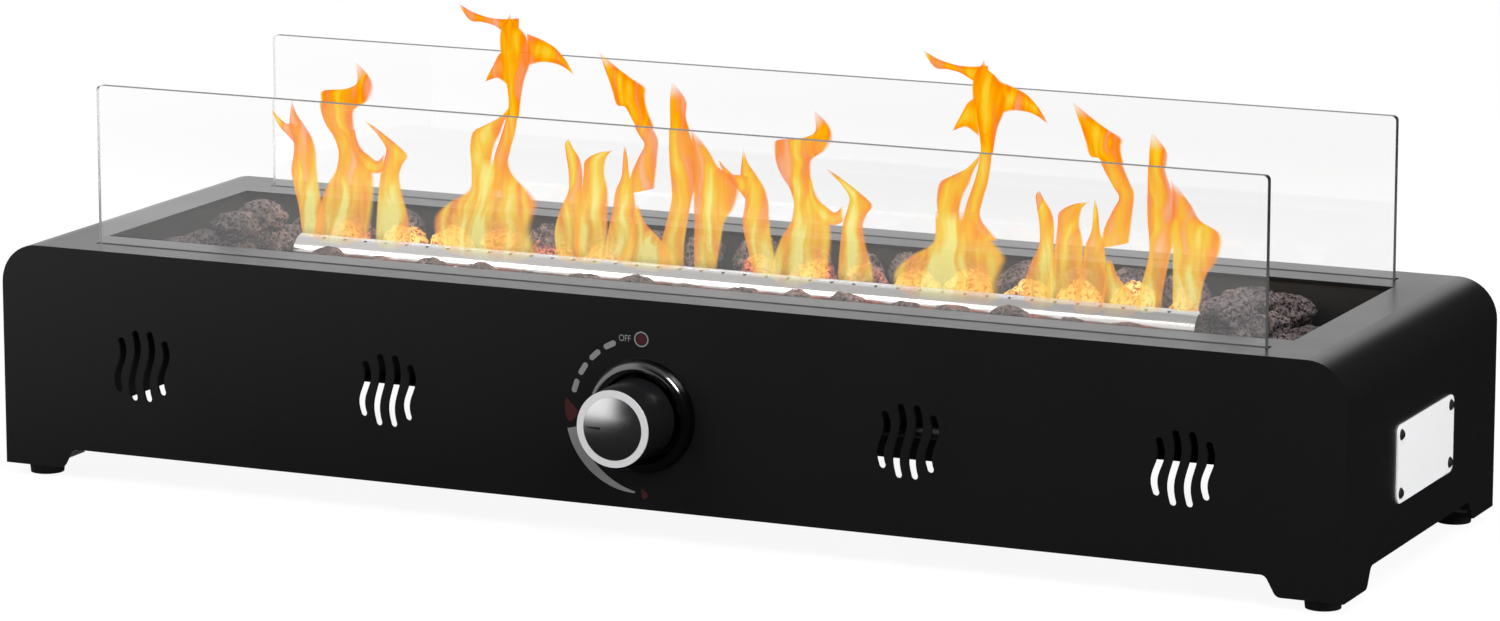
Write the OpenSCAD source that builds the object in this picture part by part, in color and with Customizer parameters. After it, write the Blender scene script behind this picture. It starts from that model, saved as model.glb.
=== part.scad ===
// Tabletop gas fire pit: a low sheet-steel casing on four feet holds a burner tray with a tube
// burner and lava rock between two panes of wind glass. A push-and-turn knob works the gas valve.
// The floor is z = 0, the front faces -Y, and the origin is under the middle of the footprint.

/* [Casing] */
// Width of the casing over its two ends
case_w = 710; // [700:1:760]
// Depth of the casing over its front and rear faces
case_d = 219; // [216:1:240]
// Height from the bottom of the legs to the top face
case_h = 112.5; // [110:0.5:130]
// Thickness of the casing sheet
sheet_t = 1.5; // [1:0.1:2]
// Outside radius of the bend at each end of the top
bend_r = 20; // [12:1:26]
// Width of each leg on the front and rear faces
leg_w = 33; // [31:1:45]
// Width of each leg on the end faces
leg_d = 32; // [31:1:40]
// Height of the cut-out between the legs
skirt_gap = 10; // [6:1:12]
// Sideways run of the slope beside that cut-out
skirt_run = 5.5; // [3:0.5:8]
// Corner radius of that cut-out
skirt_r = 4; // [2:0.5:4]

/* [Vents] */
// Number of wavy slots in each vent
vent_slots = 4; // [2:1:4]
// Width of a slot
vent_slot_w = 3.8; // [3:0.1:4.2]
// Sideways pitch of the slots
vent_pitch = 8.2; // [8:0.1:9]
// Length of the inner slots
vent_len = 36; // [30:1:40]
// How much shorter each slot is than its inner neighbour
vent_step = 8; // [0:1:10]
// Swing of the wave to each side
vent_swing = 1.8; // [1:0.1:2]
// Distance of the inner vents from the middle of the panel
vent_inner_x = 138; // [110:1:160]
// Distance of the outer vents from the middle of the panel
vent_outer_x = 275.5; // [230:1:285]

/* [Feet] */
// Height of the rubber foot that shows below the leg
foot_h = 6; // [5:0.5:9]
// Radius of the foot at its top
foot_r = 9.4; // [9:0.1:10]
// Radius of the foot where it meets the floor
foot_base_r = 8.4; // [7.5:0.1:9]
// How far the foot reaches up into the leg
foot_inset = 2; // [1:0.5:3]
// Height of the corner bracket that carries the foot
bracket_h = 30; // [20:1:40]
// Length of the corner bracket's sides
bracket_side = 27; // [26:0.5:28]
// Thickness of the bracket sheet
bracket_t = 1.5; // [1.2:0.1:2]

/* [End plate] */
// Length of the bare plate on the right end
plate_w = 82; // [76:1:90]
// Height of the plate
plate_h = 37.6; // [32:0.2:42]
// Thickness of the plate
plate_t = 0.8; // [0.5:0.1:1.2]
// Corner radius of the plate
plate_r = 4.5; // [2:0.5:5]
// Distance of each plate screw from the two nearest edges
plate_screw_in = 4.8; // [4:0.1:6]
// Height of the plate's middle above the bottom of the legs
plate_up = 50.5; // [45:0.5:60]
// Offset of the plate's middle towards the rear
plate_back = 2; // [0:0.5:4]

/* [Burner tray] */
// Distance of the opening in the top from each end of the casing
opening_end = 40; // [38:0.5:44]
// Depth of the opening in the top
opening_d = 141.4; // [136:0.2:144]
// How far the tray wall stands back under the edge of the opening
tray_back = 1; // [0.5:0.1:1.4]
// Thickness of the tray sheet
tray_t = 1.2; // [0.8:0.1:1.4]
// Depth of the tray from its rim to the underside of its floor
tray_depth = 40; // [38:0.5:42]
// Width of the rim flange
flange_w = 10; // [9.6:0.1:10]
// Gap between the rim flange and the glass channel
flange_gap = 3.4; // [2:0.1:4]
// Number of weld studs along each long side
stud_count = 5; // [3:1:9]

/* [Burner] */
// Outside radius of the burner tube
burner_r = 9.5; // [9:0.1:10.5]
// Wall of the burner tube
burner_wall = 0.8; // [0.6:0.1:1]
// Distance of the burner tube's ends from the ends of the opening
burner_end = 71.5; // [70:0.5:80]
// Depth of the burner's crown below the top face
burner_drop = 5; // [3:0.5:7]
// Number of flame ports in each of the two rows
port_count = 40; // [20:1:60]
// Radius of a flame port
port_r = 0.9; // [0.6:0.1:1.2]
// Angle of each port row from straight up
port_angle = 22; // [12:1:65]
// Rise of the domed end cap
cap_rise = 4; // [3:0.5:5]
// Distance of each burner bracket from the middle
burner_bracket_x = 150; // [90:1:190]
// Outside radius of the mixing tube
mix_r = 6; // [5.6:0.1:6.4]
// Wall of the mixing tube
mix_wall = 0.8; // [0.6:0.1:1]
// Depth of the heat shield under the tray
shield_h = 41; // [36:0.5:44]
// Length of the heat shield
shield_w = 250; // [230:1:260]
// Depth of the heat shield from front to rear
shield_d = 74; // [70:1:78]

/* [Wind glass] */
// How much shorter each pane is than the opening
glass_short = 12.7; // [8:0.1:30]
// Height of each pane above the top face
glass_up = 80; // [60:1:100]
// Thickness of the glass
glass_t = 4; // [3:0.5:4.5]
// Corner radius of the panes
glass_r = 2.5; // [1:0.5:8]
// Depth of the glass below the top face
glass_in = 14; // [10:0.5:18]
// Play between the glass and each side of its slot
glass_play = 0.6; // [0.3:0.1:0.8]
// Play between the glass and each end of its slot
glass_end_play = 1.8; // [1:0.1:3]
// Thickness of the rubber pads under the glass
pad_t = 2; // [1:0.5:3]

/* [Knob and valve] */
// Height of the knob axis above the bottom of the legs
knob_up = 56; // [54:0.5:57]
// How far the knob stands out from the front face
knob_reach = 35; // [34:0.5:40]
// Radius of the knob at its front edge
knob_r = 18.9; // [18.4:0.1:19.4]
// Radius of the knob at its rear edge
knob_rear_r = 19.5; // [19.4:0.1:19.8]
// Radius of the domed cap on the knob
dome_r = 15.25; // [13:0.25:16]
// Rise of the domed cap above the ring
dome_rise = 2.2; // [1:0.1:3]
// How far the knob is pushed in before it turns
push_travel = 3.5; // [2:0.5:3.5]
// Outside radius of the bezel
bezel_r = 27.8; // [26.5:0.1:30]
// Height of the bezel's crest above the front face
bezel_h = 6; // [5:0.1:6.5]
// Radius of the valve spindle
stem_r = 3; // [2.8:0.1:3.2]
// Radius of the valve's threaded nose
nose_r = 6; // [5.5:0.1:6.5]
// Radius of the valve body
valve_r = 13; // [12.8:0.1:13.4]
// Length of the valve body behind the front panel
valve_len = 38.5; // [37:0.5:42]
// Running clearance on a radius
run_gap = 0.05; // [0.03:0.01:0.08]

/* [Gas line] */
// Distance of the gas inlet from the middle of the rear panel
inlet_x = 185; // [160:1:250]
// Radius of the inlet's male thread
inlet_r = 7.94; // [7:0.01:9]
// Length of that thread
inlet_thread = 12; // [10:0.5:16]
// Thickness of the inlet's hexagon outside the rear panel
inlet_hex_t = 6; // [4:0.5:8]
// Length of the cone at the inlet's mouth
inlet_cone = 2; // [1:0.5:3]
// Radius of the supply pipe
supply_r = 4; // [3:0.1:4.4]
// Bend radius of the supply pipe
supply_bend = 24; // [16:1:40]
// Radius of the pipe from the valve to the jet
jet_pipe_r = 3; // [2.5:0.1:3.2]
// Wall of the gas pipes
pipe_wall = 1; // [0.8:0.1:1.2]

/* [Lava rock] */
// Clear gap that keeps neighbouring rocks apart
rock_gap = 0.3; // [0.2:0.1:0.8]
// Number of rocks along the front and rear beds
bed_cols = 17; // [12:1:18]
// Height of the lower layer of rock
rock_layer = 18.5; // [17:0.5:20]
// Height of the front bed's upper layer
front_layer = 18; // [14:0.5:20]
// Height of the rear bed's upper layer
rear_layer = 24; // [18:0.5:26]
// Height of the crowning rocks on the end heaps
crown_layer = 15; // [8:0.5:18]

/* [Hidden] */
$fn = 48;

black = [0.09, 0.09, 0.1];
steel = [0.72, 0.73, 0.75];
zinc = [0.6, 0.62, 0.64];
brass = [0.78, 0.62, 0.3];
rock = [0.42, 0.36, 0.36];
eps = 0.01;
cut = 20; // how far a cutting solid runs past what it cuts

// Heights above the floor
top_z = foot_h + case_h;
under_z = top_z - sheet_t;
skirt_z = foot_h + skirt_gap;
knob_z = foot_h + knob_up;
tray_z = under_z - tray_depth;
tray_floor_z = tray_z + tray_t;
burner_z = top_z - burner_drop - burner_r;

// Fastener sizes: M4 and M3
m4_r = 2;
m4_nut_af = 7;
m4_nut_h = 3.2;
m4_head_r = 3.8;
m4_head_h = 2.4;
m3_r = 1.5;
m3_head_r = 2.75;
m3_head_h = 1.6;
hole_play = 0.2;

// Depths and places
inlet_reach = inlet_hex_t + inlet_thread + inlet_cone;
case_y = (knob_reach - inlet_reach) / 2;
front_y = -case_d / 2;
opening_w = case_w - 2 * opening_end;
burner_len = opening_w - 2 * burner_end;
glass_w = opening_w - glass_short;
slot_w = glass_t + 2 * glass_play;
slot_len = glass_w + 2 * glass_end_play;
channel_t = 1.2;
channel_half = slot_w / 2 + channel_t;
tray_in_w = opening_w + 2 * tray_back;
tray_in_d = opening_d + 2 * tray_back;
tray_out_w = tray_in_w + 2 * tray_t;
tray_out_d = tray_in_d + 2 * tray_t;
glass_y = tray_out_d / 2 + flange_w + flange_gap + channel_half;
lip_gap = 2.1; // between the glass channels and the panels' lips
lip_d = case_d / 2 - sheet_t - glass_y - channel_half - lip_gap;
lip_end = 4;
stud_y = tray_out_d / 2 + flange_w / 2;
stud_end = 65; // from the ends of the opening to the outer studs
stud_pitch = (opening_w - 2 * stud_end) / (stud_count - 1);
stud_len = 9;
foot_in_x = 2.6; // gaps between the feet and the corner brackets
foot_in_y = 2.1;
foot_x = case_w / 2 - sheet_t - bracket_t - foot_r - foot_in_x;
foot_y = case_d / 2 - sheet_t - bracket_t - foot_r - foot_in_y;

function unit(v) = v / norm(v);

// Arc that rounds the corner b between a and c with radius r
function fillet(a, b, c, r, n = 6) = let (
    u = unit(a - b),
    v = unit(c - b),
    half = acos(u * v) / 2,
    m = b + unit(u + v) * r / sin(half),
    p = b + u * r / tan(half) - m,
    q = b + v * r / tan(half) - m,
    start = atan2(p[1], p[0]),
    sweep = atan2(p[0] * q[1] - p[1] * q[0], p * q)
) [for (i = [0:n]) m + r * [cos(start + sweep * i / n), sin(start + sweep * i / n)]];

// Outline through corners [x, y, radius]
function xy(c) = [c[0], c[1]];
function rounded(c) = let (n = len(c)) [
    for (i = [0:n - 1])
        each c[i][2] > 0 ? fillet(xy(c[(i + n - 1) % n]), xy(c[i]), xy(c[(i + 1) % n]), c[i][2])
                         : [xy(c[i])]
];

// Repeatable number from 0 to 1 for a whole number k
function chance(k) = let (v = sin(k * 127.1 + 17.3) * 4375.85) v - floor(v);

// The casing stands so that the middle of the whole footprint is over the origin
module placed() translate([0, case_y, 0]) children();
module along_y(length) rotate([90, 0, 0]) linear_extrude(length, center = true) children();
module along_x(length) rotate([90, 0, 90]) linear_extrude(length, center = true) children();
module four_corners(x, y) for (sx = [-1, 1], sy = [-1, 1]) translate([sx * x, sy * y, 0]) children();
module hexagon(af, h) cylinder(r = af / sqrt(3), h = h, $fn = 6);
module ring(r_out, r_in, h) difference() {
    cylinder(r = r_out, h = h);
    translate([0, 0, -1]) cylinder(r = r_in, h = h + 2);
}
module nut(af, r, h) difference() {
    hexagon(af, h);
    translate([0, 0, -1]) cylinder(r = r, h = h + 2);
}
module bar(size, at) translate(at) cube(size, center = true);

// Local z points out of the front face along the knob axis, from the face of the panel
module on_knob_axis() placed() translate([0, front_y, knob_z]) rotate([90, 0, 0]) children();

// ---- casing ----

// Front outline of the casing's skin, drawn in by inset
module casing_outline(inset) {
    half = case_w / 2;
    translate([inset - half, -cut]) square([case_w - 2 * inset, top_z - bend_r + cut]);
    translate([bend_r - half, -cut]) square([case_w - 2 * bend_r, top_z - inset + cut]);
    for (s = [-1, 1]) translate([s * (half - bend_r), top_z - bend_r]) circle(bend_r - inset);
}

// Space under a face of width w between legs of width leg
module leg_cutout(w, leg) {
    a = w / 2 - leg;
    b = a - skirt_run;
    polygon(rounded([
        [-w, -2 * cut, 0], [-w, foot_h, 0], [-a, foot_h, skirt_r], [-b, skirt_z, skirt_r],
        [b, skirt_z, skirt_r], [a, foot_h, skirt_r], [w, foot_h, 0], [w, -2 * cut, 0]
    ]));
}

module end_outline() difference() {
    translate([-case_d / 2, -cut]) square([case_d, top_z + 2 * cut]);
    leg_cutout(case_d, leg_d);
}

module stud_places() for (i = [0:stud_count - 1], s = [-1, 1])
    translate([(i - (stud_count - 1) / 2) * stud_pitch, s * stud_y, 0]) children();

module plate_place() translate([case_w / 2, plate_back, foot_h + plate_up]) rotate([90, 0, 90]) children();
module plate_screw_places() four_corners(plate_w / 2 - plate_screw_in, plate_h / 2 - plate_screw_in)
    children();

module top_wrap() placed() color(black) {
    difference() {
        intersection() {
            along_y(case_d - 2 * sheet_t) casing_outline(0);
            along_x(case_w + 2) end_outline();
        }
        along_y(case_d) casing_outline(sheet_t);
        bar([opening_w, opening_d, 4 * sheet_t], [0, 0, top_z]);
        for (s = [-1, 1]) bar([slot_len, slot_w, 4 * sheet_t], [0, s * glass_y, top_z]);
        plate_place() plate_screw_places() translate([0, 0, -cut / 2]) cylinder(r = m3_r + run_gap, h = cut);
    }
    stud_places() translate([0, 0, under_z - stud_len]) cylinder(r = m4_r, h = stud_len + eps);
}

// Sheet, top lip and bottom lip of a front or rear panel, drawn as the front one
module panel_blank() {
    translate([0, front_y + sheet_t / 2, 0]) along_y(sheet_t) difference() {
        casing_outline(0);
        leg_cutout(case_w, leg_w);
    }
    lip_y = front_y + sheet_t / 2 + (lip_d + sheet_t / 2) / 2;
    top_lip_w = case_w - 2 * (bend_r + lip_end);
    low_lip_w = case_w - 2 * (leg_w + skirt_run + skirt_r);
    bar([top_lip_w, lip_d + sheet_t / 2, sheet_t], [0, lip_y, under_z - sheet_t / 2]);
    bar([low_lip_w, lip_d + sheet_t / 2, sheet_t], [0, lip_y, skirt_z + sheet_t / 2]);
}

// Sideways place of the wave at height z of a slot of length l
function wave(z, l) = vent_swing * sin(360 * z / l);

// Outline of one wavy slot: its two sides, and a half circle at each end
module wavy_slot(l) {
    steps = 12;
    r = vent_slot_w / 2;
    side = [for (i = [0:steps]) -l / 2 + r + (l - 2 * r) * i / steps];
    polygon(concat(
        [for (z = side) [wave(z, l) + r, z]],
        [for (a = [30:30:150]) [wave(side[steps], l) + r * cos(a), side[steps] + r * sin(a)]],
        [for (i = [0:steps]) [wave(side[steps - i], l) - r, side[steps - i]]],
        [for (a = [210:30:330]) [wave(side[0], l) + r * cos(a), side[0] + r * sin(a)]]
    ));
}

module vent() for (i = [0:vent_slots - 1]) {
    off = i - (vent_slots - 1) / 2;
    length = vent_len - vent_step * (abs(off) - (vent_slots % 2 == 0 ? 0.5 : 0));
    translate([off * vent_pitch, 0]) wavy_slot(length);
}

module front_panel() placed() color(black) difference() {
    panel_blank();
    for (x = [-vent_outer_x, -vent_inner_x, vent_inner_x, vent_outer_x])
        translate([x, front_y, knob_z]) along_y(3 * sheet_t) vent();
    translate([0, front_y, knob_z]) rotate([90, 0, 0]) translate([0, 0, -cut / 4])
        cylinder(r = nose_r + hole_play, h = cut / 2);
}

module rear_panel() placed() color(black) difference() {
    mirror([0, 1, 0]) panel_blank();
    translate([inlet_x, -front_y, knob_z]) rotate([90, 0, 0]) translate([0, 0, -cut / 4])
        cylinder(r = inlet_r + run_gap, h = cut / 2);
}

// ---- feet ----
bracket_z = foot_h + foot_inset;

module foot_brackets() placed() color(zinc) for (sx = [0, 1], sy = [0, 1])
    mirror([sx, 0, 0]) mirror([0, sy, 0]) difference() {
        union() {
            x1 = case_w / 2 - sheet_t;
            y0 = front_y + sheet_t;
            translate([x1 - bracket_side, y0, bracket_z]) cube([bracket_side, bracket_side, bracket_t]);
            translate([x1 - bracket_side, y0, bracket_z]) cube([bracket_side, bracket_t, bracket_h]);
            translate([x1 - bracket_t, y0, bracket_z]) cube([bracket_t, bracket_side, bracket_h]);
        }
        translate([foot_x, -foot_y, 0]) cylinder(r = m4_r + hole_play, h = bracket_z + bracket_t + 1);
    }

foot_recess = 4;
head_play = 0.4;
thread_out = 1;
module feet() placed() color([0.05, 0.05, 0.05]) four_corners(foot_x, foot_y) difference() {
    cylinder(r1 = foot_base_r, r2 = foot_r, h = bracket_z);
    translate([0, 0, -1]) cylinder(r = m4_r + run_gap, h = bracket_z + 2);
    translate([0, 0, -1]) cylinder(r = m4_head_r + head_play, h = foot_recess + 1);
}

module foot_screws() placed() color(zinc) four_corners(foot_x, foot_y) {
    translate([0, 0, foot_recess - m4_head_h]) cylinder(r = m4_head_r, h = m4_head_h);
    shank = bracket_z + bracket_t + m4_nut_h + thread_out - foot_recess;
    translate([0, 0, foot_recess - eps]) cylinder(r = m4_r, h = shank);
}

module foot_nuts() placed() color(zinc) four_corners(foot_x, foot_y)
    translate([0, 0, bracket_z + bracket_t]) nut(m4_nut_af, m4_r + run_gap, m4_nut_h);

// ---- end plate ----
module end_plate() placed() color([0.85, 0.86, 0.87]) plate_place() difference() {
    linear_extrude(plate_t) {
        square([plate_w - 2 * plate_r, plate_h], center = true);
        square([plate_w, plate_h - 2 * plate_r], center = true);
        four_corners(plate_w / 2 - plate_r, plate_h / 2 - plate_r) circle(plate_r);
    }
    plate_screw_places() translate([0, 0, -1]) cylinder(r = m3_r + run_gap, h = plate_t + 2);
}

plate_screw_len = 5;
socket_af = 2;
socket_deep = 1;

// Button head: a low dome over the screw's shank, cut from a sphere, with a hexagon socket
module plate_screws() placed() color(black) plate_place() plate_screw_places() difference() {
    dome = (m3_head_r * m3_head_r + m3_head_h * m3_head_h) / (2 * m3_head_h);
    union() {
        intersection() {
            translate([0, 0, plate_t + m3_head_h - dome]) sphere(dome);
            translate([0, 0, plate_t]) cylinder(r = m3_head_r, h = 2 * m3_head_h);
        }
        translate([0, 0, -plate_screw_len]) cylinder(r = m3_r, h = plate_screw_len + plate_t + eps);
    }
    translate([0, 0, plate_t + m3_head_h - socket_deep]) hexagon(socket_af, 2 * socket_deep);
}

// ---- burner tray ----
shield_t = 1.2;
shield_flange = 10;
shield_stud_in = 15;
shield_stud_len = 8;
module shield_stud_places()
    four_corners(shield_w / 2 - shield_stud_in, (shield_d + shield_flange) / 2) children();

module burner_tray() placed() color(black) {
    difference() {
        union() {
            bar([tray_out_w, tray_out_d, tray_depth], [0, 0, under_z - tray_depth / 2]);
            bar([tray_out_w + flange_w, tray_out_d + 2 * flange_w, tray_t], [0, 0, under_z - tray_t / 2]);
        }
        bar([tray_in_w, tray_in_d, tray_depth], [0, 0, tray_floor_z + tray_depth / 2]);
        stud_places() translate([0, 0, under_z - cut / 2]) cylinder(r = m4_r + hole_play, h = cut);
        translate([0, 0, tray_z - cut / 2]) cylinder(r = mix_r + hole_play, h = cut);
        screw_places() translate([0, 0, tray_z - cut / 2]) cylinder(r = m4_r + run_gap, h = cut);
        translate([spark_x, spark_y, tray_z - cut / 2]) cylinder(r = ceramic_r + hole_play, h = cut);
    }
    shield_stud_places() translate([0, 0, tray_z - shield_stud_len])
        cylinder(r = m4_r, h = shield_stud_len + eps);
}

module tray_nuts() placed() color(zinc) stud_places()
    translate([0, 0, under_z - tray_t - m4_nut_h]) nut(m4_nut_af, m4_r + run_gap, m4_nut_h);

// Screws in the tray's floor: one through each burner bracket and one through the electrode's
saddle_t = 1.5;
saddle_side = 1.8; // metal on each side of the burner
saddle_rise = 1.5; // how far the upright passes the burner's middle
saddle_w = 2 * (burner_r + saddle_side);
saddle_l = 14;
spark_x = -30;
spark_y = 19;
spark_screw_x = spark_x - 10;
tray_screw_out = 3;
module screw_places() {
    for (s = [-1, 1]) translate([s * (burner_bracket_x + saddle_l / 2), 0, 0]) children();
    translate([spark_screw_x, spark_y, 0]) children();
}

module tray_screws() placed() color(zinc) screw_places() {
    translate([0, 0, tray_floor_z + saddle_t]) cylinder(r = m4_head_r, h = m4_head_h);
    translate([0, 0, tray_z - tray_screw_out])
        cylinder(r = m4_r, h = tray_t + saddle_t + tray_screw_out + eps);
}

// ---- burner ----
port_end = 15; // from the tube's ends to the first ports
cap_in = 6;
module burner_tube() placed() color(steel) difference() {
    translate([-burner_len / 2, 0, burner_z]) rotate([0, 90, 0])
        ring(burner_r, burner_r - burner_wall, burner_len);
    port_pitch = (burner_len - 2 * port_end) / (port_count - 1);
    for (i = [0:port_count - 1], s = [-1, 1])
        translate([(i - (port_count - 1) / 2) * port_pitch, 0, burner_z]) rotate([s * port_angle, 0, 0])
            translate([0, 0, burner_r / 2]) cylinder(r = port_r, h = burner_r, $fn = 16);
    translate([0, 0, burner_z - 2 * burner_r]) cylinder(r = mix_r + run_gap, h = 2 * burner_r);
}

// Plug with a domed end that closes each end of the burner
module burner_caps() placed() color(steel) for (s = [0, 1]) mirror([s, 0, 0])
    translate([burner_len / 2, 0, burner_z]) rotate([0, 90, 0]) {
        dome = (burner_r * burner_r + cap_rise * cap_rise) / (2 * cap_rise);
        intersection() {
            translate([0, 0, cap_rise - dome]) sphere(dome, $fn = 96);
            cylinder(r = burner_r, h = 2 * cap_rise);
        }
        translate([0, 0, -cap_in]) cylinder(r = burner_r - burner_wall - run_gap, h = cap_in + eps);
    }

// Foot on the tray floor and an upright that clips round the underside of the burner
module burner_brackets() placed() color(zinc) for (s = [0, 1]) mirror([s, 0, 0])
    translate([burner_bracket_x, 0, tray_floor_z]) difference() {
        union() {
            translate([0, -saddle_w / 2, 0]) cube([saddle_l, saddle_w, saddle_t]);
            translate([0, -saddle_w / 2, 0])
                cube([saddle_t, saddle_w, burner_z - tray_floor_z + saddle_rise]);
        }
        translate([-1, 0, burner_z - tray_floor_z]) rotate([0, 90, 0])
            cylinder(r = burner_r + run_gap, h = saddle_t + 2);
        translate([saddle_l / 2, 0, -1]) cylinder(r = m4_r + run_gap, h = saddle_t + 2);
    }

holder_r = 8;
holder_up = 6;
holder_down = 8;
mix_z = knob_z + holder_up;
mix_in = 4; // how far the mixing tube enters the burner
mix_flange_r = 12;
air_edge = 1.5; // metal below and above the air windows

module mixing_tube() placed() color(steel) difference() {
    union() {
        translate([0, 0, mix_z]) cylinder(r = mix_r, h = burner_z - burner_r + mix_in - mix_z);
        translate([0, 0, tray_floor_z]) cylinder(r = mix_flange_r, h = saddle_t);
    }
    translate([0, 0, mix_z - 1]) cylinder(r = mix_r - mix_wall, h = burner_z - mix_z);
    air_h = tray_z - mix_z - 2 * air_edge;
    for (a = [0, 90]) rotate([0, 0, a]) bar([4 * mix_r, mix_r, air_h], [0, 0, mix_z + air_edge + air_h / 2]);
}

jet_shank_r = 2.5;
jet_shank_len = 2.8;
jet_af = 6;
jet_hex_h = 3;
jet_tip_h = 2.5;
jet_tip_r = 2;
jet_mouth_r = 1.4;
jet_feed_r = 1.2;
jet_bore_r = 0.5;
jet_way_r = 1.6; // passage in the holder
seat_gap = 0.2; // left between a pipe's end and the bottom of its hole
module jet_holder() placed() color(brass) difference() {
    translate([0, 0, knob_z - holder_down]) cylinder(r = holder_r, h = holder_down + holder_up);
    translate([0, -jet_way_r, knob_z]) rotate([90, 0, 0]) cylinder(r = jet_pipe_r + run_gap, h = holder_r);
    translate([0, 0, knob_z]) cylinder(r = jet_way_r, h = holder_up + 1);
    translate([0, -jet_way_r - 1, knob_z]) rotate([-90, 0, 0]) cylinder(r = jet_way_r, h = jet_way_r + 1);
    translate([0, 0, mix_z - jet_shank_len]) cylinder(r = jet_shank_r + run_gap, h = jet_shank_len + 1);
}

// Straight pipe from the valve's outlet to the jet holder
module gas_pipe() placed() color(zinc) {
    y0 = front_y - body_end + outlet_len - outlet_bore + seat_gap;
    y1 = -jet_way_r - seat_gap;
    translate([0, (y0 + y1) / 2, knob_z]) along_y(y1 - y0) pipe_section(jet_pipe_r);
}

module gas_jet() placed() color(brass) translate([0, 0, mix_z]) difference() {
    union() {
        translate([0, 0, -jet_shank_len]) cylinder(r = jet_shank_r, h = jet_shank_len + eps);
        hexagon(jet_af, jet_hex_h);
        translate([0, 0, jet_hex_h - eps]) cylinder(r1 = jet_tip_r, r2 = jet_mouth_r, h = jet_tip_h);
    }
    translate([0, 0, -jet_shank_len - 1]) cylinder(r = jet_feed_r, h = jet_shank_len + jet_hex_h + 1);
    cylinder(r = jet_bore_r, h = 2 * (jet_hex_h + jet_tip_h), $fn = 24);
}

// ---- heat shield: a channel under the tray round the jet and the mixing tube ----
window_w = 50; // window in its front wall for the valve's outlet and the ignition lead
window_h = 24;
window_x = -13;
window_low = 2; // how far the window's middle lies below the gas pipe
module heat_shield() placed() color(zinc) difference() {
    union() {
        bar([shield_w, shield_d, shield_h], [0, 0, tray_z - shield_h / 2]);
        bar([shield_w, shield_d + 2 * shield_flange, shield_t], [0, 0, tray_z - shield_t / 2]);
    }
    bar([shield_w + 2, shield_d - 2 * shield_t, shield_h], [0, 0, tray_z - shield_h / 2 + shield_t]);
    bar([window_w, 4 * shield_t, window_h], [window_x, (shield_t - shield_d) / 2, knob_z - window_low]);
    shield_stud_places() translate([0, 0, tray_z - cut / 2]) cylinder(r = m4_r + hole_play, h = cut);
}

module shield_nuts() placed() color(zinc) shield_stud_places()
    translate([0, 0, tray_z - shield_t - m4_nut_h]) nut(m4_nut_af, m4_r + run_gap, m4_nut_h);

// ---- wind glass ----
pane_low_z = top_z - glass_in;
channel_z = pane_low_z - pad_t - channel_t;

module glass_channel() placed() color(black) difference() {
    h = under_z - channel_z;
    bar([slot_len + 2 * channel_t, 2 * channel_half, h], [0, 0, channel_z + h / 2]);
    bar([slot_len, slot_w, h], [0, 0, channel_z + channel_t + h / 2]);
}
module front_glass_channel() translate([0, -glass_y, 0]) glass_channel();
module rear_glass_channel() translate([0, glass_y, 0]) glass_channel();

pad_len = 30;
pad_end = 62; // from the glass's ends to the middle of the outer pads
pad_play = 0.2;
module glass_pads() placed() color([0.07, 0.07, 0.07]) for (sx = [-1, 0, 1], sy = [-1, 1])
    bar([pad_len, slot_w - 2 * pad_play, pad_t],
        [sx * (glass_w / 2 - pad_end), sy * glass_y, pane_low_z - pad_t / 2]);

module pane() placed() color([0.75, 0.85, 0.85, 0.35]) {
    h = glass_up + glass_in;
    translate([0, 0, pane_low_z + h / 2]) along_y(glass_t) {
        square([glass_w - 2 * glass_r, h], center = true);
        square([glass_w, h - 2 * glass_r], center = true);
        four_corners(glass_w / 2 - glass_r, h / 2 - glass_r) circle(glass_r);
    }
}
module front_glass() translate([0, -glass_y, 0]) pane();
module rear_glass() translate([0, glass_y, 0]) pane();

// ---- knob and valve; heights are along the knob axis from the front face ----
bezel_floor = 1.2;
bezel_lip_r = knob_rear_r + 0.9;
bezel_round = 4; // radius of its outer shoulder
bezel_crest = 0.8; // flat width of the crest
bezel_dish = 2.2; // depth of the sloping dish inside the crest
bezel_draft = 0.4;
valve_nut_af = 17;
nut_h = 3;
nose_h = 7;
flange_h = 4;
flange_z = -sheet_t;
body_z = flange_z - flange_h;
body_end = body_z - valve_len + flange_h;
cone_z = body_z - 12.5;
cone_end = cone_z - 14;
cone_big = 6.05;
cone_small = 5.05;
port_z = cone_z - 8.5;
chamber_r = 7.2;
collar_h = 1.5;
collar_top = body_z - 0.1;
collar_r = 5.8;
washer_h = 1;
washer_play = 0.3;
washer_z = collar_top - collar_h - washer_h;
tongue_w = 8;
tongue_t = 2.2;
tongue_end = cone_z - 1.7;
plug_top = cone_z - 0.2;
plug_end = cone_end + 0.2;
slot_end = tongue_end - push_travel - 0.3;
boss_x = 22; // end of the side inlet boss
outlet_len = 6;
front_z = knob_reach - dome_rise;
ring_t = 0.7;
face_z = front_z - ring_t;
knob_rear_z = bezel_floor + push_travel + 0.5;
stem_end = face_z - 6;
hub_z = nose_h + push_travel + 0.7;
flat_z = hub_z + 1;
flat_at = stem_r - 0.8;

// Section: floor under the nut, dish up to the crest, and a rounded outer shoulder
module bezel() on_knob_axis() color([0.2, 0.2, 0.21]) rotate_extrude($fn = 96) {
    crest_r = bezel_r - bezel_round;
    arc = [for (a = [0:10:90]) [crest_r + bezel_round * cos(a), bezel_h * sin(a)]];
    polygon(concat(
        [[nose_r + hole_play, 0]], arc,
        [[crest_r - bezel_crest, bezel_h], [bezel_lip_r, bezel_h - bezel_dish],
         [bezel_lip_r - bezel_draft, bezel_floor], [nose_r + hole_play, bezel_floor]]
    ));
}

module valve_nut() on_knob_axis() color(zinc) translate([0, 0, bezel_floor])
    nut(valve_nut_af, nose_r + run_gap, nut_h);

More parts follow.
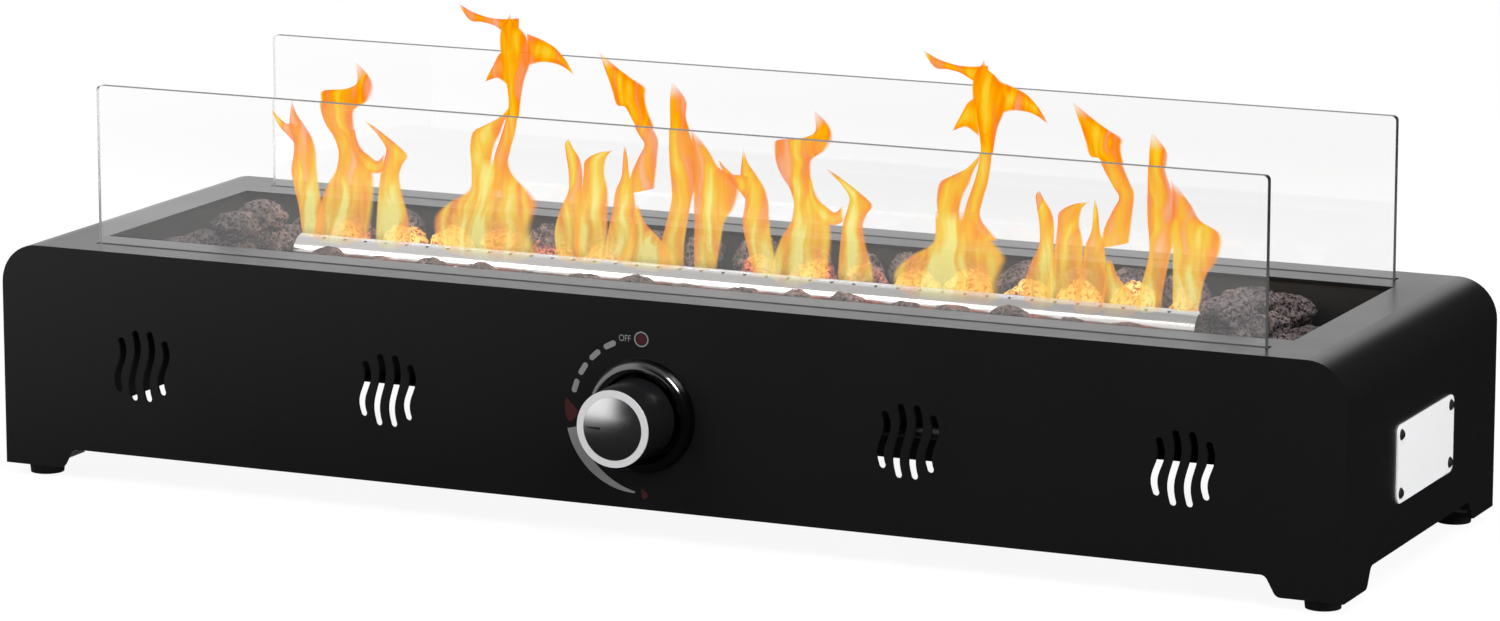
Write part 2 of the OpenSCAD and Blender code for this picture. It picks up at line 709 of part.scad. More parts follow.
bonnet_screw_r = 10;
bonnet_sink = 2; // depth of the screw heads' seats
bonnet_head_h = 1.8;
bonnet_screw_in = 7; // how far the screws enter the valve body
module bonnet_screw_places() for (s = [-1, 1]) translate([0, s * bonnet_screw_r, 0]) children();

module valve_bonnet() on_knob_axis() color(brass) difference() {
    union() {
        translate([0, 0, body_z]) cylinder(r = valve_r, h = flange_h);
        translate([0, 0, flange_z - eps]) cylinder(r = nose_r, h = nose_h - flange_z + eps);
    }
    translate([0, 0, body_z - 1]) cylinder(r = stem_r + run_gap, h = 2 * cut);
    bonnet_screw_places() {
        translate([0, 0, body_z - 1]) cylinder(r = m3_r + run_gap, h = cut);
        translate([0, 0, flange_z - bonnet_sink]) cylinder(r = m3_head_r + hole_play / 2, h = cut);
    }
}

module bonnet_screws() on_knob_axis() color(zinc) bonnet_screw_places() {
    translate([0, 0, flange_z - bonnet_sink]) cylinder(r = m3_head_r, h = bonnet_head_h);
    translate([0, 0, body_z - bonnet_screw_in])
        cylinder(r = m3_r, h = bonnet_screw_in + flange_h - bonnet_sink + eps);
}

lug_w = 2; // the lug that carries the igniter
lug_h = 10;
lug_l = 22;
lug_back = 8;
outlet_r = 6;
outlet_bore = 4;
boss_r = 7;
boss_bore = 5;
way_r = 2; // gas passages
module valve_body() on_knob_axis() color(brass) difference() {
    union() {
        translate([0, 0, body_end]) cylinder(r = valve_r, h = body_z - body_end);
        translate([0, 0, body_end - outlet_len]) cylinder(r = outlet_r, h = outlet_len + eps);
        translate([0, 0, port_z]) rotate([0, 90, 0]) cylinder(r = boss_r, h = boss_x);
        translate([-valve_r - lug_w, -lug_h / 2, port_z - lug_back]) cube([valve_r, lug_h, lug_l]);
    }
    translate([0, 0, cone_z]) cylinder(r = chamber_r, h = cut);
    translate([0, 0, cone_end]) cylinder(r1 = cone_small, r2 = cone_big, h = cone_z - cone_end + eps);
    translate([0, 0, body_end - cut]) cylinder(r = way_r, h = 2 * cut);
    translate([0, 0, body_end - outlet_len - 1]) cylinder(r = jet_pipe_r + run_gap, h = outlet_bore + 1);
    translate([0, 0, port_z]) rotate([0, 90, 0]) cylinder(r = way_r, h = boss_x);
    translate([boss_x - boss_bore, 0, port_z]) rotate([0, 90, 0])
        cylinder(r = supply_r + run_gap, h = boss_bore + 1);
    bonnet_screw_places() translate([0, 0, body_z - bonnet_screw_in - 1])
        cylinder(r = m3_r + run_gap, h = cut);
}

// Radius of the plug's seat at height z
function cone_at(z) = cone_small + (cone_big - cone_small) * (z - cone_end) / (cone_z - cone_end);

plug_way_r = 1.8;
plug_port_r = 1.5;
tongue_play = 0.1;
module valve_plug() on_knob_axis() color(brass) difference() {
    translate([0, 0, plug_end]) cylinder(r1 = cone_at(plug_end) - run_gap, r2 = cone_at(plug_top) - run_gap,
        h = plug_top - plug_end);
    bar([tongue_t + 2 * tongue_play, cut, plug_top - slot_end + 1], [0, 0, (plug_top + slot_end + 1) / 2]);
    translate([0, 0, plug_end - 1]) cylinder(r = plug_way_r, h = port_z - plug_end + 1);
    translate([0, 0, port_z]) rotate([0, 90, 0]) cylinder(r = plug_port_r, h = cut, $fn = 24);
}

// Coil from the washer down to the shoulder of the valve body
coil_r = 6.3;
wire_r = 0.4;
coil_turns = 5;
coil_steps = 12;
coil_sides = 6;
coil_top = washer_z - wire_r - run_gap;
coil_low = cone_z + wire_r + run_gap;
function coil_ring(i) = let (
    a = 360 * i / coil_steps,
    z = coil_low + (coil_top - coil_low) * i / (coil_turns * coil_steps)
) [for (k = [0:coil_sides - 1]) let (b = 360 * k / coil_sides, r = coil_r + wire_r * cos(b))
    [r * cos(a), r * sin(a), z + wire_r * sin(b)]];

module valve_spring() on_knob_axis() color(steel) {
    n = coil_turns * coil_steps;
    s = coil_sides;
    points = [for (i = [0:n]) each coil_ring(i)];
    walls = [for (i = [0:n - 1], k = [0:s - 1]) let (
        a = i * s + k, b = i * s + (k + 1) % s, c = a + s, d = b + s) each [[a, b, d], [a, d, c]]];
    ends = [[for (k = [0:s - 1]) s - 1 - k], [for (k = [0:s - 1]) n * s + k]];
    polyhedron(points, concat(walls, ends), convexity = 8);
}

module thrust_washer() on_knob_axis() color(steel) translate([0, 0, washer_z])
    ring(chamber_r - washer_play, tongue_w / 2 + washer_play, washer_h);

// Spindle with the flat that turns it, a collar under the bonnet and a tongue in the plug's slot
module knob_stem() on_knob_axis() color(steel) {
    difference() {
        translate([0, 0, collar_top - eps]) cylinder(r = stem_r, h = stem_end - collar_top + eps);
        translate([-cut / 2, flat_at, flat_z]) cube([cut, cut, cut + stem_end]);
    }
    translate([0, 0, collar_top - collar_h]) cylinder(r = collar_r, h = collar_h);
    bar([tongue_t, tongue_w, collar_top - collar_h - tongue_end + eps],
        [0, 0, (collar_top - collar_h + tongue_end + eps) / 2]);
}

wall_front = 3.5;
wall_side = 2.4;
hub_r = 6.5;
rib_t = 1.6;
rib_back = 2; // how far the ribs end short of the hub
grip_play = 0.02; // between the knob and its spindle
module knob_body() on_knob_axis() color(black) difference() {
    union() {
        difference() {
            translate([0, 0, knob_rear_z])
                cylinder(r1 = knob_rear_r, r2 = knob_r, h = face_z - knob_rear_z, $fn = 96);
            translate([0, 0, knob_rear_z - 1])
                cylinder(r = knob_r - wall_side, h = face_z - wall_front - knob_rear_z + 1);
        }
        translate([0, 0, hub_z]) cylinder(r = hub_r, h = face_z - wall_front - hub_z + eps);
        for (a = [0:60:300]) rotate([0, 0, a]) translate([hub_r - 0.5, -rib_t / 2, hub_z + rib_back])
            cube([knob_r - wall_side - hub_r + 1, rib_t, face_z - wall_front - hub_z - rib_back + eps]);
    }
    difference() {
        translate([0, 0, hub_z - 1]) cylinder(r = stem_r + grip_play, h = stem_end - hub_z + 1.5);
        translate([-cut / 2, flat_at + grip_play, flat_z]) cube([cut, cut, cut + stem_end]);
    }
}

ring_in = 0.2; // how far the ring stands back from the knob's edge
module knob_ring() on_knob_axis() color([0.75, 0.75, 0.76]) translate([0, 0, face_z])
    ring(knob_r - ring_in, dome_r + run_gap, ring_t, $fn = 96);

// Radius of the sphere whose cap rises this much over the dome's rim, and its height at radius r
dome_sphere = (dome_r * dome_r + dome_rise * dome_rise) / (2 * dome_rise);
function dome_at(r) = front_z + dome_rise - dome_sphere + sqrt(dome_sphere * dome_sphere - r * r);

// Pointer: a tapering bar at nine o'clock that lies along the slope of the dome
pointer_in = 5.5;
pointer_out = 13.6;
pointer_wide = 1.4;
pointer_tip = 0.6;
pointer_deep = 0.6;
pointer_low = 0.2; // how far the inlay lies below the dome
pointer_play = 0.02;
pointer_fall = atan((dome_at(pointer_in) - dome_at(pointer_out)) / (pointer_out - pointer_in));
module pointer_shape(gap, h) {
    w0 = pointer_wide / 2 - gap;
    w1 = pointer_tip / 2 - gap;
    tip = pointer_in - pointer_out + gap;
    translate([-pointer_in, 0, dome_at(pointer_in)]) rotate([0, -pointer_fall, 0])
        translate([0, 0, -pointer_deep]) linear_extrude(h)
            polygon([[-gap, -w0], [-gap, w0], [tip, w1], [tip, -w1]]);
}

module knob_dome() on_knob_axis() color(steel) difference() {
    intersection() {
        translate([0, 0, front_z + dome_rise - dome_sphere]) sphere(dome_sphere, $fn = 128);
        translate([0, 0, face_z]) cylinder(r = dome_r, h = ring_t + 2 * dome_rise, $fn = 96);
    }
    pointer_shape(0, cut / 4);
}

// Black inlay at the bottom of the pointer's groove
module pointer_mark() on_knob_axis() color([0.02, 0.02, 0.02])
    pointer_shape(pointer_play, pointer_deep - pointer_low);

// ---- gas line ----
inlet_in = 17.5; // length of the inlet fitting inside the rear face
pipe_y = front_y - port_z;
inlet_bore = 5; // depth of the pipe's seat in the inlet fitting
pipe_back_y = -front_y - inlet_in + inlet_bore - seat_gap;
pipe_left_x = boss_x - boss_bore + seat_gap;

module pipe_section(r) difference() {
    circle(r);
    circle(r - pipe_wall);
}

module supply_pipe() placed() color(zinc) translate([0, 0, knob_z]) {
    bend_y = pipe_y + supply_bend;
    bend_x = inlet_x - supply_bend;
    translate([inlet_x, (pipe_back_y + bend_y) / 2, 0]) along_y(pipe_back_y - bend_y) pipe_section(supply_r);
    translate([bend_x, bend_y, 0]) rotate([0, 0, -90]) rotate_extrude(angle = 90)
        translate([supply_bend, 0]) pipe_section(supply_r);
    translate([(pipe_left_x + bend_x) / 2, pipe_y, 0]) along_x(bend_x - pipe_left_x) pipe_section(supply_r);
}

pipe_nut_af = 14;
pipe_nut_h = 8;
module pipe_nuts() placed() color(brass) translate([0, 0, knob_z]) {
    translate([boss_x, pipe_y, 0]) rotate([0, 90, 0]) nut(pipe_nut_af, supply_r + run_gap, pipe_nut_h);
    translate([inlet_x, -front_y - inlet_in, 0]) rotate([90, 0, 0])
        nut(pipe_nut_af, supply_r + run_gap, pipe_nut_h);
}

// Local z points out of the rear face along the gas inlet
module on_inlet_axis() placed() translate([inlet_x, -front_y, knob_z]) rotate([-90, 0, 0]) children();

inlet_af = 22;
inlet_way_r = 2.5;
locknut_h = 5;
module inlet_fitting() on_inlet_axis() color(brass) difference() {
    union() {
        translate([0, 0, -inlet_in]) cylinder(r = inlet_r, h = inlet_in + inlet_hex_t + inlet_thread);
        hexagon(inlet_af, inlet_hex_t);
        translate([0, 0, inlet_hex_t + inlet_thread - eps])
            cylinder(r1 = inlet_r, r2 = inlet_r - inlet_cone, h = inlet_cone + eps);
    }
    translate([0, 0, -inlet_in - 1]) cylinder(r = inlet_way_r, h = 3 * cut);
    translate([0, 0, -inlet_in - 1]) cylinder(r = supply_r + run_gap, h = inlet_bore + 1);
}

module inlet_locknut() on_inlet_axis() color(brass) translate([0, 0, -sheet_t - locknut_h])
    nut(inlet_af, inlet_r + run_gap, locknut_h);

// ---- ignition ----
piezo_w = 14;
piezo_x = -valve_r - lug_w - piezo_w / 2;
piezo_z0 = -8;
piezo_end = -42;
terminal_r = 4;
terminal_h = 3;
ceramic_r = 3.5;
ceramic_low = 9;
ceramic_up = 22;
rod_r = 1;
rod_top = burner_z + 4;
rod_low = tray_z - ceramic_low - 4;
lead_r = 1.3;
lead_z = knob_z - 6;
lead_out = 7; // straight run out of the igniter
lead_bend = 15; // where it has come round behind the igniter
collar_out = 1.2;
collar_up = 4;
spark_gap = 3;
spark_plate = [26, 12];
spark_plate_x = spark_x - 6;

module piezo_igniter() on_knob_axis() color(black) {
    bar([piezo_w, piezo_w, piezo_z0 - piezo_end], [piezo_x, 0, (piezo_z0 + piezo_end) / 2]);
    translate([piezo_x, 0, piezo_z0 - eps]) cylinder(r = terminal_r, h = terminal_h);
}

// Round wire through a list of points, with a slightly thicker ball at each bend
module wire(points, r) {
    for (i = [0:len(points) - 2]) {
        d = points[i + 1] - points[i];
        translate(points[i]) rotate([0, acos(d[2] / norm(d)), atan2(d[1], d[0])])
            cylinder(r = r, h = norm(d));
    }
    for (i = [1:len(points) - 2]) translate(points[i]) sphere(r + 0.1);
}

module ignition_lead() placed() color([0.6, 0.1, 0.08]) {
    piezo_y = front_y - piezo_end;
    wire([
        [piezo_x, piezo_y, knob_z], [piezo_x, piezo_y + lead_out, knob_z],
        [spark_x, piezo_y + lead_bend, lead_z],
        [spark_x, spark_y, lead_z], [spark_x, spark_y, rod_low]
    ], lead_r);
}

module electrode_ceramic() placed() color([0.93, 0.92, 0.88]) translate([spark_x, spark_y, 0]) difference() {
    union() {
        translate([0, 0, tray_z - ceramic_low]) cylinder(r = ceramic_r, h = ceramic_low + ceramic_up);
        translate([0, 0, tray_floor_z + saddle_t]) cylinder(r = ceramic_r + collar_out, h = collar_up);
    }
    translate([0, 0, tray_z - ceramic_low - 1]) cylinder(r = rod_r + run_gap, h = 3 * cut);
}

module electrode_rod() placed() color(steel) translate([spark_x, spark_y, 0]) {
    tip = spark_y - burner_r - spark_gap;
    translate([0, 0, rod_low]) cylinder(r = rod_r, h = rod_top - rod_low);
    translate([0, 0, rod_top]) sphere(rod_r);
    translate([0, 0, rod_top]) rotate([90, 0, 0]) cylinder(r = rod_r, h = tip);
}

module electrode_bracket() placed() color(zinc) difference() {
    bar([spark_plate[0], spark_plate[1], saddle_t], [spark_plate_x, spark_y, tray_floor_z + saddle_t / 2]);
    translate([spark_x, spark_y, tray_floor_z - 1]) cylinder(r = ceramic_r + run_gap, h = saddle_t + 2);
    translate([spark_screw_x, spark_y, tray_floor_z - 1]) cylinder(r = m4_r + run_gap, h = saddle_t + 2);
}

// ---- lava rock ----
uneven = 4; // how much the tops of the upper stones vary
stone_sides = 8;
stone_rings = [50, 0, -50];

// Surface points of a stone with its middle at c, half sizes a and b, between heights z0 and z1:
// three uneven rings between two poles. A stone with another on top of it is flat there.
function stone_points(c, a, b, z0, z1, seed, flat_top) = let (h = (z1 - z0) / 2, m = (z0 + z1) / 2) concat(
    [[c[0], c[1], z1]],
    [for (j = [0:2], k = [0:stone_sides - 1]) let (
        f = 0.84 + 0.16 * chance(seed * 29 + j * 11 + k),
        t = (k + (j % 2) / 2) * 360 / stone_sides,
        free = m + h * sin(stone_rings[j]) * f,
        z = j == 2 ? z0 : (j == 0 && flat_top ? z1 : free)
    ) [c[0] + a * cos(stone_rings[j]) * cos(t) * f, c[1] + b * cos(stone_rings[j]) * sin(t) * f, z]],
    [[c[0], c[1], z0]]
);

module stone(c, a, b, z0, z1, seed, flat_top) {
    n = stone_sides;
    faces = concat(
        [for (k = [0:n - 1]) [0, 1 + (k + 1) % n, 1 + k]],
        [for (k = [0:n - 1]) let (p = 1 + k, q = 1 + (k + 1) % n)
            each [[p, q, p + n], [q, q + n, p + n]]],
        [for (k = [0:n - 1]) let (p = 1 + n + k, q = 1 + n + (k + 1) % n)
            each [[p, q, q + n], [p, q + n, p + n]]],
        [for (k = [0:n - 1]) [3 * n + 1, 1 + 2 * n + k, 1 + 2 * n + (k + 1) % n]]
    );
    polyhedron(stone_points(c, a, b, z0, z1, seed, flat_top), faces, convexity = 2);
}

// Rows of stones over [x0, x1] by [y0, y1] in layers, each stone in a cell of its own.
// Every other row is moved half a cell if stagger is 1. In the first column the rows from crown[0] to
// crown[1] carry one layer more. In the last one the rows from bare[0] to bare[1] have only the lowest.
module rock_bed(x0, x1, y0, y1, cols, rows, levels, seed, stagger, crown = [1, 0], bare = [1, 0]) {
    dx = (x1 - x0) / cols;
    dy = (y1 - y0) / rows;
    count = len(levels);
    for (j = [0:rows - 1], i = [0:cols - 1 - stagger * (j % 2)]) {
        tall = i == 0 && j >= crown[0] && j <= crown[1];
        low = i == cols - 1 && j >= bare[0] && j <= bare[1];
        layers = tall ? concat(levels, [levels[count - 1] + crown_layer])
            : (low ? [levels[0], levels[1]] : levels);
        for (l = [0:len(layers) - 2]) {
            k = seed + i * 17 + j * 5 + l * 3;
            a = dx / 2 * (0.88 + 0.08 * chance(k));
            b = dy / 2 * (0.88 + 0.08 * chance(k + 1));
            slack = [dx / 2 - a - rock_gap / 2, dy / 2 - b - rock_gap / 2];
            c = [x0 + dx * (i + 0.5 + stagger * (j % 2) / 2) + slack[0] * (2 * chance(k + 2) - 1),
                 y0 + dy * (j + 0.5) + slack[1] * (2 * chance(k + 4) - 1)];
            last = l == len(layers) - 2;
            top = layers[l + 1] - (last ? uneven * chance(k + 6) : rock_gap);
            near = norm([max(abs(c[0] - spark_zone[0]) - a, 0), max(abs(c[1] - spark_zone[1]) - b, 0)]);
            if (near > spark_clear) stone(c, a, b, layers[l], top, k, !last);
        }
    }
}

spark_zone = [spark_x - 5, spark_y];
spark_clear = 15;
rock_wall = 1; // gap between the rocks and the tray's walls
bed_x = burner_len / 2 - rock_wall;
bed_y0 = saddle_w / 2 + 2 * rock_gap;
bed_y1 = tray_in_d / 2 - rock_wall;
heap_x0 = burner_len / 2 + cap_rise + rock_wall;
heap_x1 = tray_in_w / 2 - rock_wall;
layer1 = tray_floor_z + rock_layer;
end_layer = 17;
heap_layers = [tray_floor_z, layer1, layer1 + end_layer];

bed_rows = 2;
heap_cols = 2;
heap_rows = 5;
heap_top = [1, 2]; // rows that are highest beside the burner
heap_low = [3, 4]; // rows that are lowest beside the tray's end
front_layers = [tray_floor_z, layer1, layer1 + front_layer];
rear_layers = [tray_floor_z, layer1, layer1 + rear_layer];

module rocks_front() placed() color(rock)
    rock_bed(-bed_x, bed_x, -bed_y1, -bed_y0, bed_cols, bed_rows, front_layers, 3, 1);
module rocks_rear() placed() color(rock)
    rock_bed(-bed_x, bed_x, bed_y0, bed_y1, bed_cols, bed_rows, rear_layers, 500, 1);

// Heaps past the two ends of the burner
module rocks_left() placed() color(rock) mirror([1, 0, 0])
    rock_bed(heap_x0, heap_x1, -bed_y1, bed_y1, heap_cols, heap_rows, heap_layers, 900, 0, heap_top, heap_low);
module rocks_right() placed() color(rock)
    rock_bed(heap_x0, heap_x1, -bed_y1, bed_y1, heap_cols, heap_rows, heap_layers, 1300, 0, heap_top, heap_low);

top_wrap();
front_panel();
rear_panel();
foot_brackets();
feet();
foot_screws();
foot_nuts();
end_plate();
plate_screws();
burner_tray();
tray_nuts();
burner_tube();
burner_caps();
burner_brackets();
tray_screws();
mixing_tube();
jet_holder();
gas_jet();
gas_pipe();
heat_shield();
shield_nuts();
front_glass_channel();
rear_glass_channel();
glass_pads();
front_glass();
rear_glass();
bezel();
valve_nut();
valve_bonnet();
bonnet_screws();
valve_body();
valve_plug();
valve_spring();
thrust_washer();
knob_stem();
knob_body();
knob_ring();
knob_dome();
pointer_mark();
supply_pipe();
pipe_nuts();
inlet_fitting();
inlet_locknut();
piezo_igniter();
ignition_lead();
electrode_ceramic();
electrode_rod();
electrode_bracket();
rocks_left();
rocks_right();
rocks_front();
rocks_rear();
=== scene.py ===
import math

import bmesh
import bpy
import numpy as np
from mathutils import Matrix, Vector


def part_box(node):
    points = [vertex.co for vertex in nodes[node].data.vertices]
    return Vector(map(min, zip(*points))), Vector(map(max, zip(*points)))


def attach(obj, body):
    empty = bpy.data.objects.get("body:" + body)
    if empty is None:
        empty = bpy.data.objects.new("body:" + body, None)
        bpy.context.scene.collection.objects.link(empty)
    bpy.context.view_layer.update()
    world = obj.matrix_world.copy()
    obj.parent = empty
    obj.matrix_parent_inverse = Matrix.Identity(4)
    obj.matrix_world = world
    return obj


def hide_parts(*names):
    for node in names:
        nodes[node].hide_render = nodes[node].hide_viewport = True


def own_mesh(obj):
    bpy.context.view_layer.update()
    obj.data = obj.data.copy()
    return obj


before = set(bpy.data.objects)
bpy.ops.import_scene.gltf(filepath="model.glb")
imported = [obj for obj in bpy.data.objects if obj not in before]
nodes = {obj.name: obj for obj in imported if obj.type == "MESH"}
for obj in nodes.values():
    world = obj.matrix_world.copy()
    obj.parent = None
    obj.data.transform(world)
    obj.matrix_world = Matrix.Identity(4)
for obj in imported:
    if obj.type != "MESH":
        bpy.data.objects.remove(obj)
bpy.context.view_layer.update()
scene = bpy.context.scene
print("loaded", len(nodes), "nodes")

# The view: where the lens stands, which way it looks and how long it is
view = {
    "place": (1.2521, -2.7045, 0.6917),
    "look": (-0.4093, 0.8911, -0.1964),
    "lens": 148.31,
    "sensor": 36.0,
    "far": 50.0,
}

camera = bpy.data.objects.new("camera", bpy.data.cameras.new("camera"))
camera.location = view["place"]
camera.rotation_euler = Vector(view["look"]).to_track_quat("-Z", "Y").to_euler()
camera.data.lens = view["lens"]
camera.data.sensor_width = view["sensor"]
camera.data.sensor_fit = "HORIZONTAL"
camera.data.clip_end = view["far"]
scene.collection.objects.link(camera)
scene.camera = camera
scene.view_settings.view_transform = "Standard"


# A node with its inputs set: an output socket is linked, anything else is a value
def put(tree, kind, inputs=None, **settings):
    made = tree.nodes.new("ShaderNode" + kind)
    for key, value in settings.items():
        setattr(made, key, value)
    for key, value in (inputs or {}).items():
        if isinstance(value, bpy.types.NodeSocket):
            tree.links.new(value, made.inputs[key])
        else:
            made.inputs[key].default_value = value
    return made


def maths(tree, operation, a, b=0.0, clamp=False):
    return put(tree, "Math", {0: a, 1: b}, operation=operation, use_clamp=clamp).outputs[0]


def product(tree, first, *others):
    for other in others:
        first = maths(tree, "MULTIPLY", first, other)
    return first


# A base with values added to it, each times its own weight
def weighted(tree, base, *pairs):
    for value, weight in pairs:
        base = maths(tree, "ADD", base, maths(tree, "MULTIPLY", value, weight))
    return base


# Value carried from one range to another along a smooth step
def smooth(tree, value, low, high, start=0.0, end=1.0):
    step = put(tree, "MapRange", {"Value": value, "From Min": low, "From Max": high,
                                  "To Min": start, "To Max": end},
               interpolation_type="SMOOTHSTEP")
    return step.outputs[0]


def blendColors(tree, factor, a, b):
    mix = put(tree, "Mix", {"Factor": factor}, data_type="RGBA")
    for socket, value in ((mix.inputs[6], a), (mix.inputs[7], b)):
        if isinstance(value, bpy.types.NodeSocket):
            tree.links.new(value, socket)
        else:
            socket.default_value = (*value, 1.0)
    return mix.outputs[2]


def ramp(tree, value, stops):
    made = put(tree, "ValToRGB", {0: value})
    elements = made.color_ramp.elements
    while len(elements) < len(stops):
        elements.new(0.5)
    for element, (place, color) in zip(elements, stops):
        element.position = place
        element.color = (*color, 1.0)
    return made.outputs[0]


# An empty node group with its sockets; returns the tree and its input and output nodes
def newGroup(name, inputs, outputs):
    tree = bpy.data.node_groups.new(name, "ShaderNodeTree")
    for label, kind, value in inputs:
        socket = tree.interface.new_socket(label, in_out="INPUT", socket_type="NodeSocket" + kind)
        if value is not None:
            socket.default_value = value
    for label, kind in outputs:
        tree.interface.new_socket(label, in_out="OUTPUT", socket_type="NodeSocket" + kind)
    return tree, tree.nodes.new("NodeGroupInput"), tree.nodes.new("NodeGroupOutput")


def newMaterial(name, color, metallic=0.0, roughness=0.5, **sockets):
    material = bpy.data.materials.new(name)
    material.use_nodes = True
    shader = material.node_tree.nodes["Principled BSDF"]
    shader.inputs["Base Color"].default_value = (*color, 1.0)
    shader.inputs["Metallic"].default_value = metallic
    shader.inputs["Roughness"].default_value = roughness
    for key, value in sockets.items():
        shader.inputs[key.replace("_", " ")].default_value = value
    return material, material.node_tree, shader


def objectSpace(tree):
    return put(tree, "TexCoord").outputs["Object"]


def useGroup(tree, group, **inputs):
    made = tree.nodes.new("ShaderNodeGroup")
    made.node_tree = group
    tree.links.new(objectSpace(tree), made.inputs["Vector"])
    for key, value in inputs.items():
        made.inputs[key].default_value = value
    return made


def bump(tree, shader, height, depth, strength=1.0):
    made = put(tree, "Bump", {"Height": height, "Distance": depth, "Strength": strength})
    tree.links.new(made.outputs[0], shader.inputs["Normal"])


def dress(names, material):
    for name in names:
        for slot in nodes[name].material_slots:
            slot.material = material


def newPiece(name, points, faces, material, body=None, flat=False):
    mesh = bpy.data.meshes.new(name)
    mesh.from_pydata(np.asarray(points, float).tolist(), [], [list(f) for f in faces])
    mesh.materials.append(material)
    mesh.update()
    if not flat:
        mesh.shade_smooth()
    made = bpy.data.objects.new(name, mesh)
    scene.collection.objects.link(made)
    if body:
        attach(made, body)
    return made


# Effects that several finishes share: each gives a height and a roughness
noiseSpan = (0.3, 0.7)  # most of a noise's values lie between these two
patchScale = 14.0


def newEffect(name, label, kind, value):
    return newGroup(name, [("Vector", "Vector", None), (label, kind, value), ("Rough low", "Float", 0.3),
                           ("Rough high", "Float", 0.4)], [("Height", "Float"), ("Roughness", "Float")])


# Ends an effect: its height is one noise, and its roughness another, spread over the range asked for
def endEffect(tree, source, target, height, rough):
    spread = put(tree, "MapRange", {"Value": rough, "From Min": noiseSpan[0], "From Max": noiseSpan[1],
                                    "To Min": source.outputs["Rough low"],
                                    "To Max": source.outputs["Rough high"]})
    tree.links.new(height, target.inputs["Height"])
    tree.links.new(spread.outputs[0], target.inputs["Roughness"])


# Powder coat and cast grain: fine lumps in height, and patches that are a little rougher
grainGroup, source, target = newEffect("grain", "Size", "Float", 0.001)
scale = maths(grainGroup, "DIVIDE", 1.0, source.outputs["Size"])
lumps = put(grainGroup, "TexNoise", {"Vector": source.outputs["Vector"], "Scale": scale, "Detail": 2.0})
patches = put(grainGroup, "TexNoise", {"Vector": source.outputs["Vector"], "Scale": patchScale,
                                       "Detail": 3.0})
endEffect(grainGroup, source, target, lumps.outputs[0], patches.outputs[0])

# Brushed metal: noise drawn out along one axis, as fine lines across the other two
brushGroup, source, target = newEffect("brush", "Stretch", "Vector", (1, 1, 1))
drawn = put(brushGroup, "VectorMath", {0: source.outputs["Vector"], 1: source.outputs["Stretch"]},
            operation="MULTIPLY")
lines = put(brushGroup, "TexNoise", {"Vector": drawn.outputs[0], "Scale": 1.0, "Detail": 3.0})
endEffect(brushGroup, source, target, lines.outputs[0], lines.outputs[0])


# A finish made with one of the effects; amount is what the effect's own input is given
def effectMaterial(name, look, group, amount, **settings):
    material, tree, shader = newMaterial(name, look["color"], **settings)
    effect = useGroup(tree, group, **amount, **{"Rough low": look["rough"][0],
                                                "Rough high": look["rough"][1]})
    tree.links.new(effect.outputs["Roughness"], shader.inputs["Roughness"])
    bump(tree, shader, effect.outputs["Height"], look["depth"])
    return material


# Coats and plastics: size and depth are those of the grain, in metres
coats = {
    "powder": {"color": (0.0055, 0.0055, 0.0058), "size": 0.0011, "rough": (0.27, 0.32),
               "depth": 0.00003, "specular": 0.33},
    "tray": {"color": (0.016, 0.016, 0.016), "size": 0.0008, "rough": (0.5, 0.62),
             "depth": 0.00003, "specular": 0.12},
    "rubber": {"color": (0.012, 0.012, 0.012), "size": 0.0006, "rough": (0.6, 0.7),
               "depth": 0.00003, "specular": 0.3},
    "knob": {"color": (0.006, 0.006, 0.0065), "size": 0.0005, "rough": (0.2, 0.25),
             "depth": 0.000004, "specular": 0.5},
    "blackScrew": {"color": (0.012, 0.012, 0.012), "size": 0.0004, "rough": (0.3, 0.4),
                   "depth": 0.00001, "specular": 0.5},
}


def coatMaterial(name):
    look = coats[name]
    return effectMaterial(name, look, grainGroup, {"Size": look["size"]},
                          Specular_IOR_Level=look["specular"])


dress(["top_wrap", "front_panel", "rear_panel", "front_glass_channel", "rear_glass_channel"],
      coatMaterial("powder"))
dress(["burner_tray"], coatMaterial("tray"))
dress(["feet", "glass_pads"], coatMaterial("rubber"))
dress(["knob_body"], coatMaterial("knob"))
dress(["plate_screws"], coatMaterial("blackScrew"))

# Metals: stretch is how many lines stand in a metre along x, y and z
metals = {
    "stainless": {"color": (0.62, 0.60, 0.58), "stretch": (12, 900, 900), "rough": (0.14, 0.26),
                  "depth": 0.000004},
    "galvanised": {"color": (0.50, 0.51, 0.53), "stretch": (60, 60, 60), "rough": (0.34, 0.5),
                   "depth": 0.000006},
    "zincScrew": {"color": (0.60, 0.61, 0.62), "stretch": (900, 900, 900), "rough": (0.25, 0.35),
                  "depth": 0.000003},
    "plateSilver": {"color": (0.90, 0.90, 0.91), "stretch": (900, 14, 1400), "rough": (0.3, 0.42),
                    "depth": 0.000003, "metallic": 0.25},
    "brass": {"color": (0.70, 0.50, 0.22), "stretch": (500, 500, 500), "rough": (0.24, 0.36),
              "depth": 0.000003},
    "springSteel": {"color": (0.45, 0.45, 0.46), "stretch": (700, 700, 700), "rough": (0.2, 0.3),
                    "depth": 0.000002},
}


def metalMaterial(name):
    look = metals[name]
    return effectMaterial(name, look, brushGroup, {"Stretch": look["stretch"]},
                          metallic=look.get("metallic", 1.0))


dress(["burner_tube", "burner_caps", "mixing_tube", "electrode_rod"], metalMaterial("stainless"))
dress(["foot_brackets", "burner_brackets", "heat_shield", "electrode_bracket", "supply_pipe", "gas_pipe"],
      metalMaterial("galvanised"))
dress(["foot_screws", "foot_nuts", "tray_nuts", "tray_screws", "shield_nuts", "valve_nut",
       "bonnet_screws", "knob_stem", "thrust_washer"], metalMaterial("zincScrew"))
dress(["end_plate"], metalMaterial("plateSilver"))
dress(["jet_holder", "gas_jet", "valve_bonnet", "valve_body", "valve_plug", "pipe_nuts",
       "inlet_fitting", "inlet_locknut"], metalMaterial("brass"))

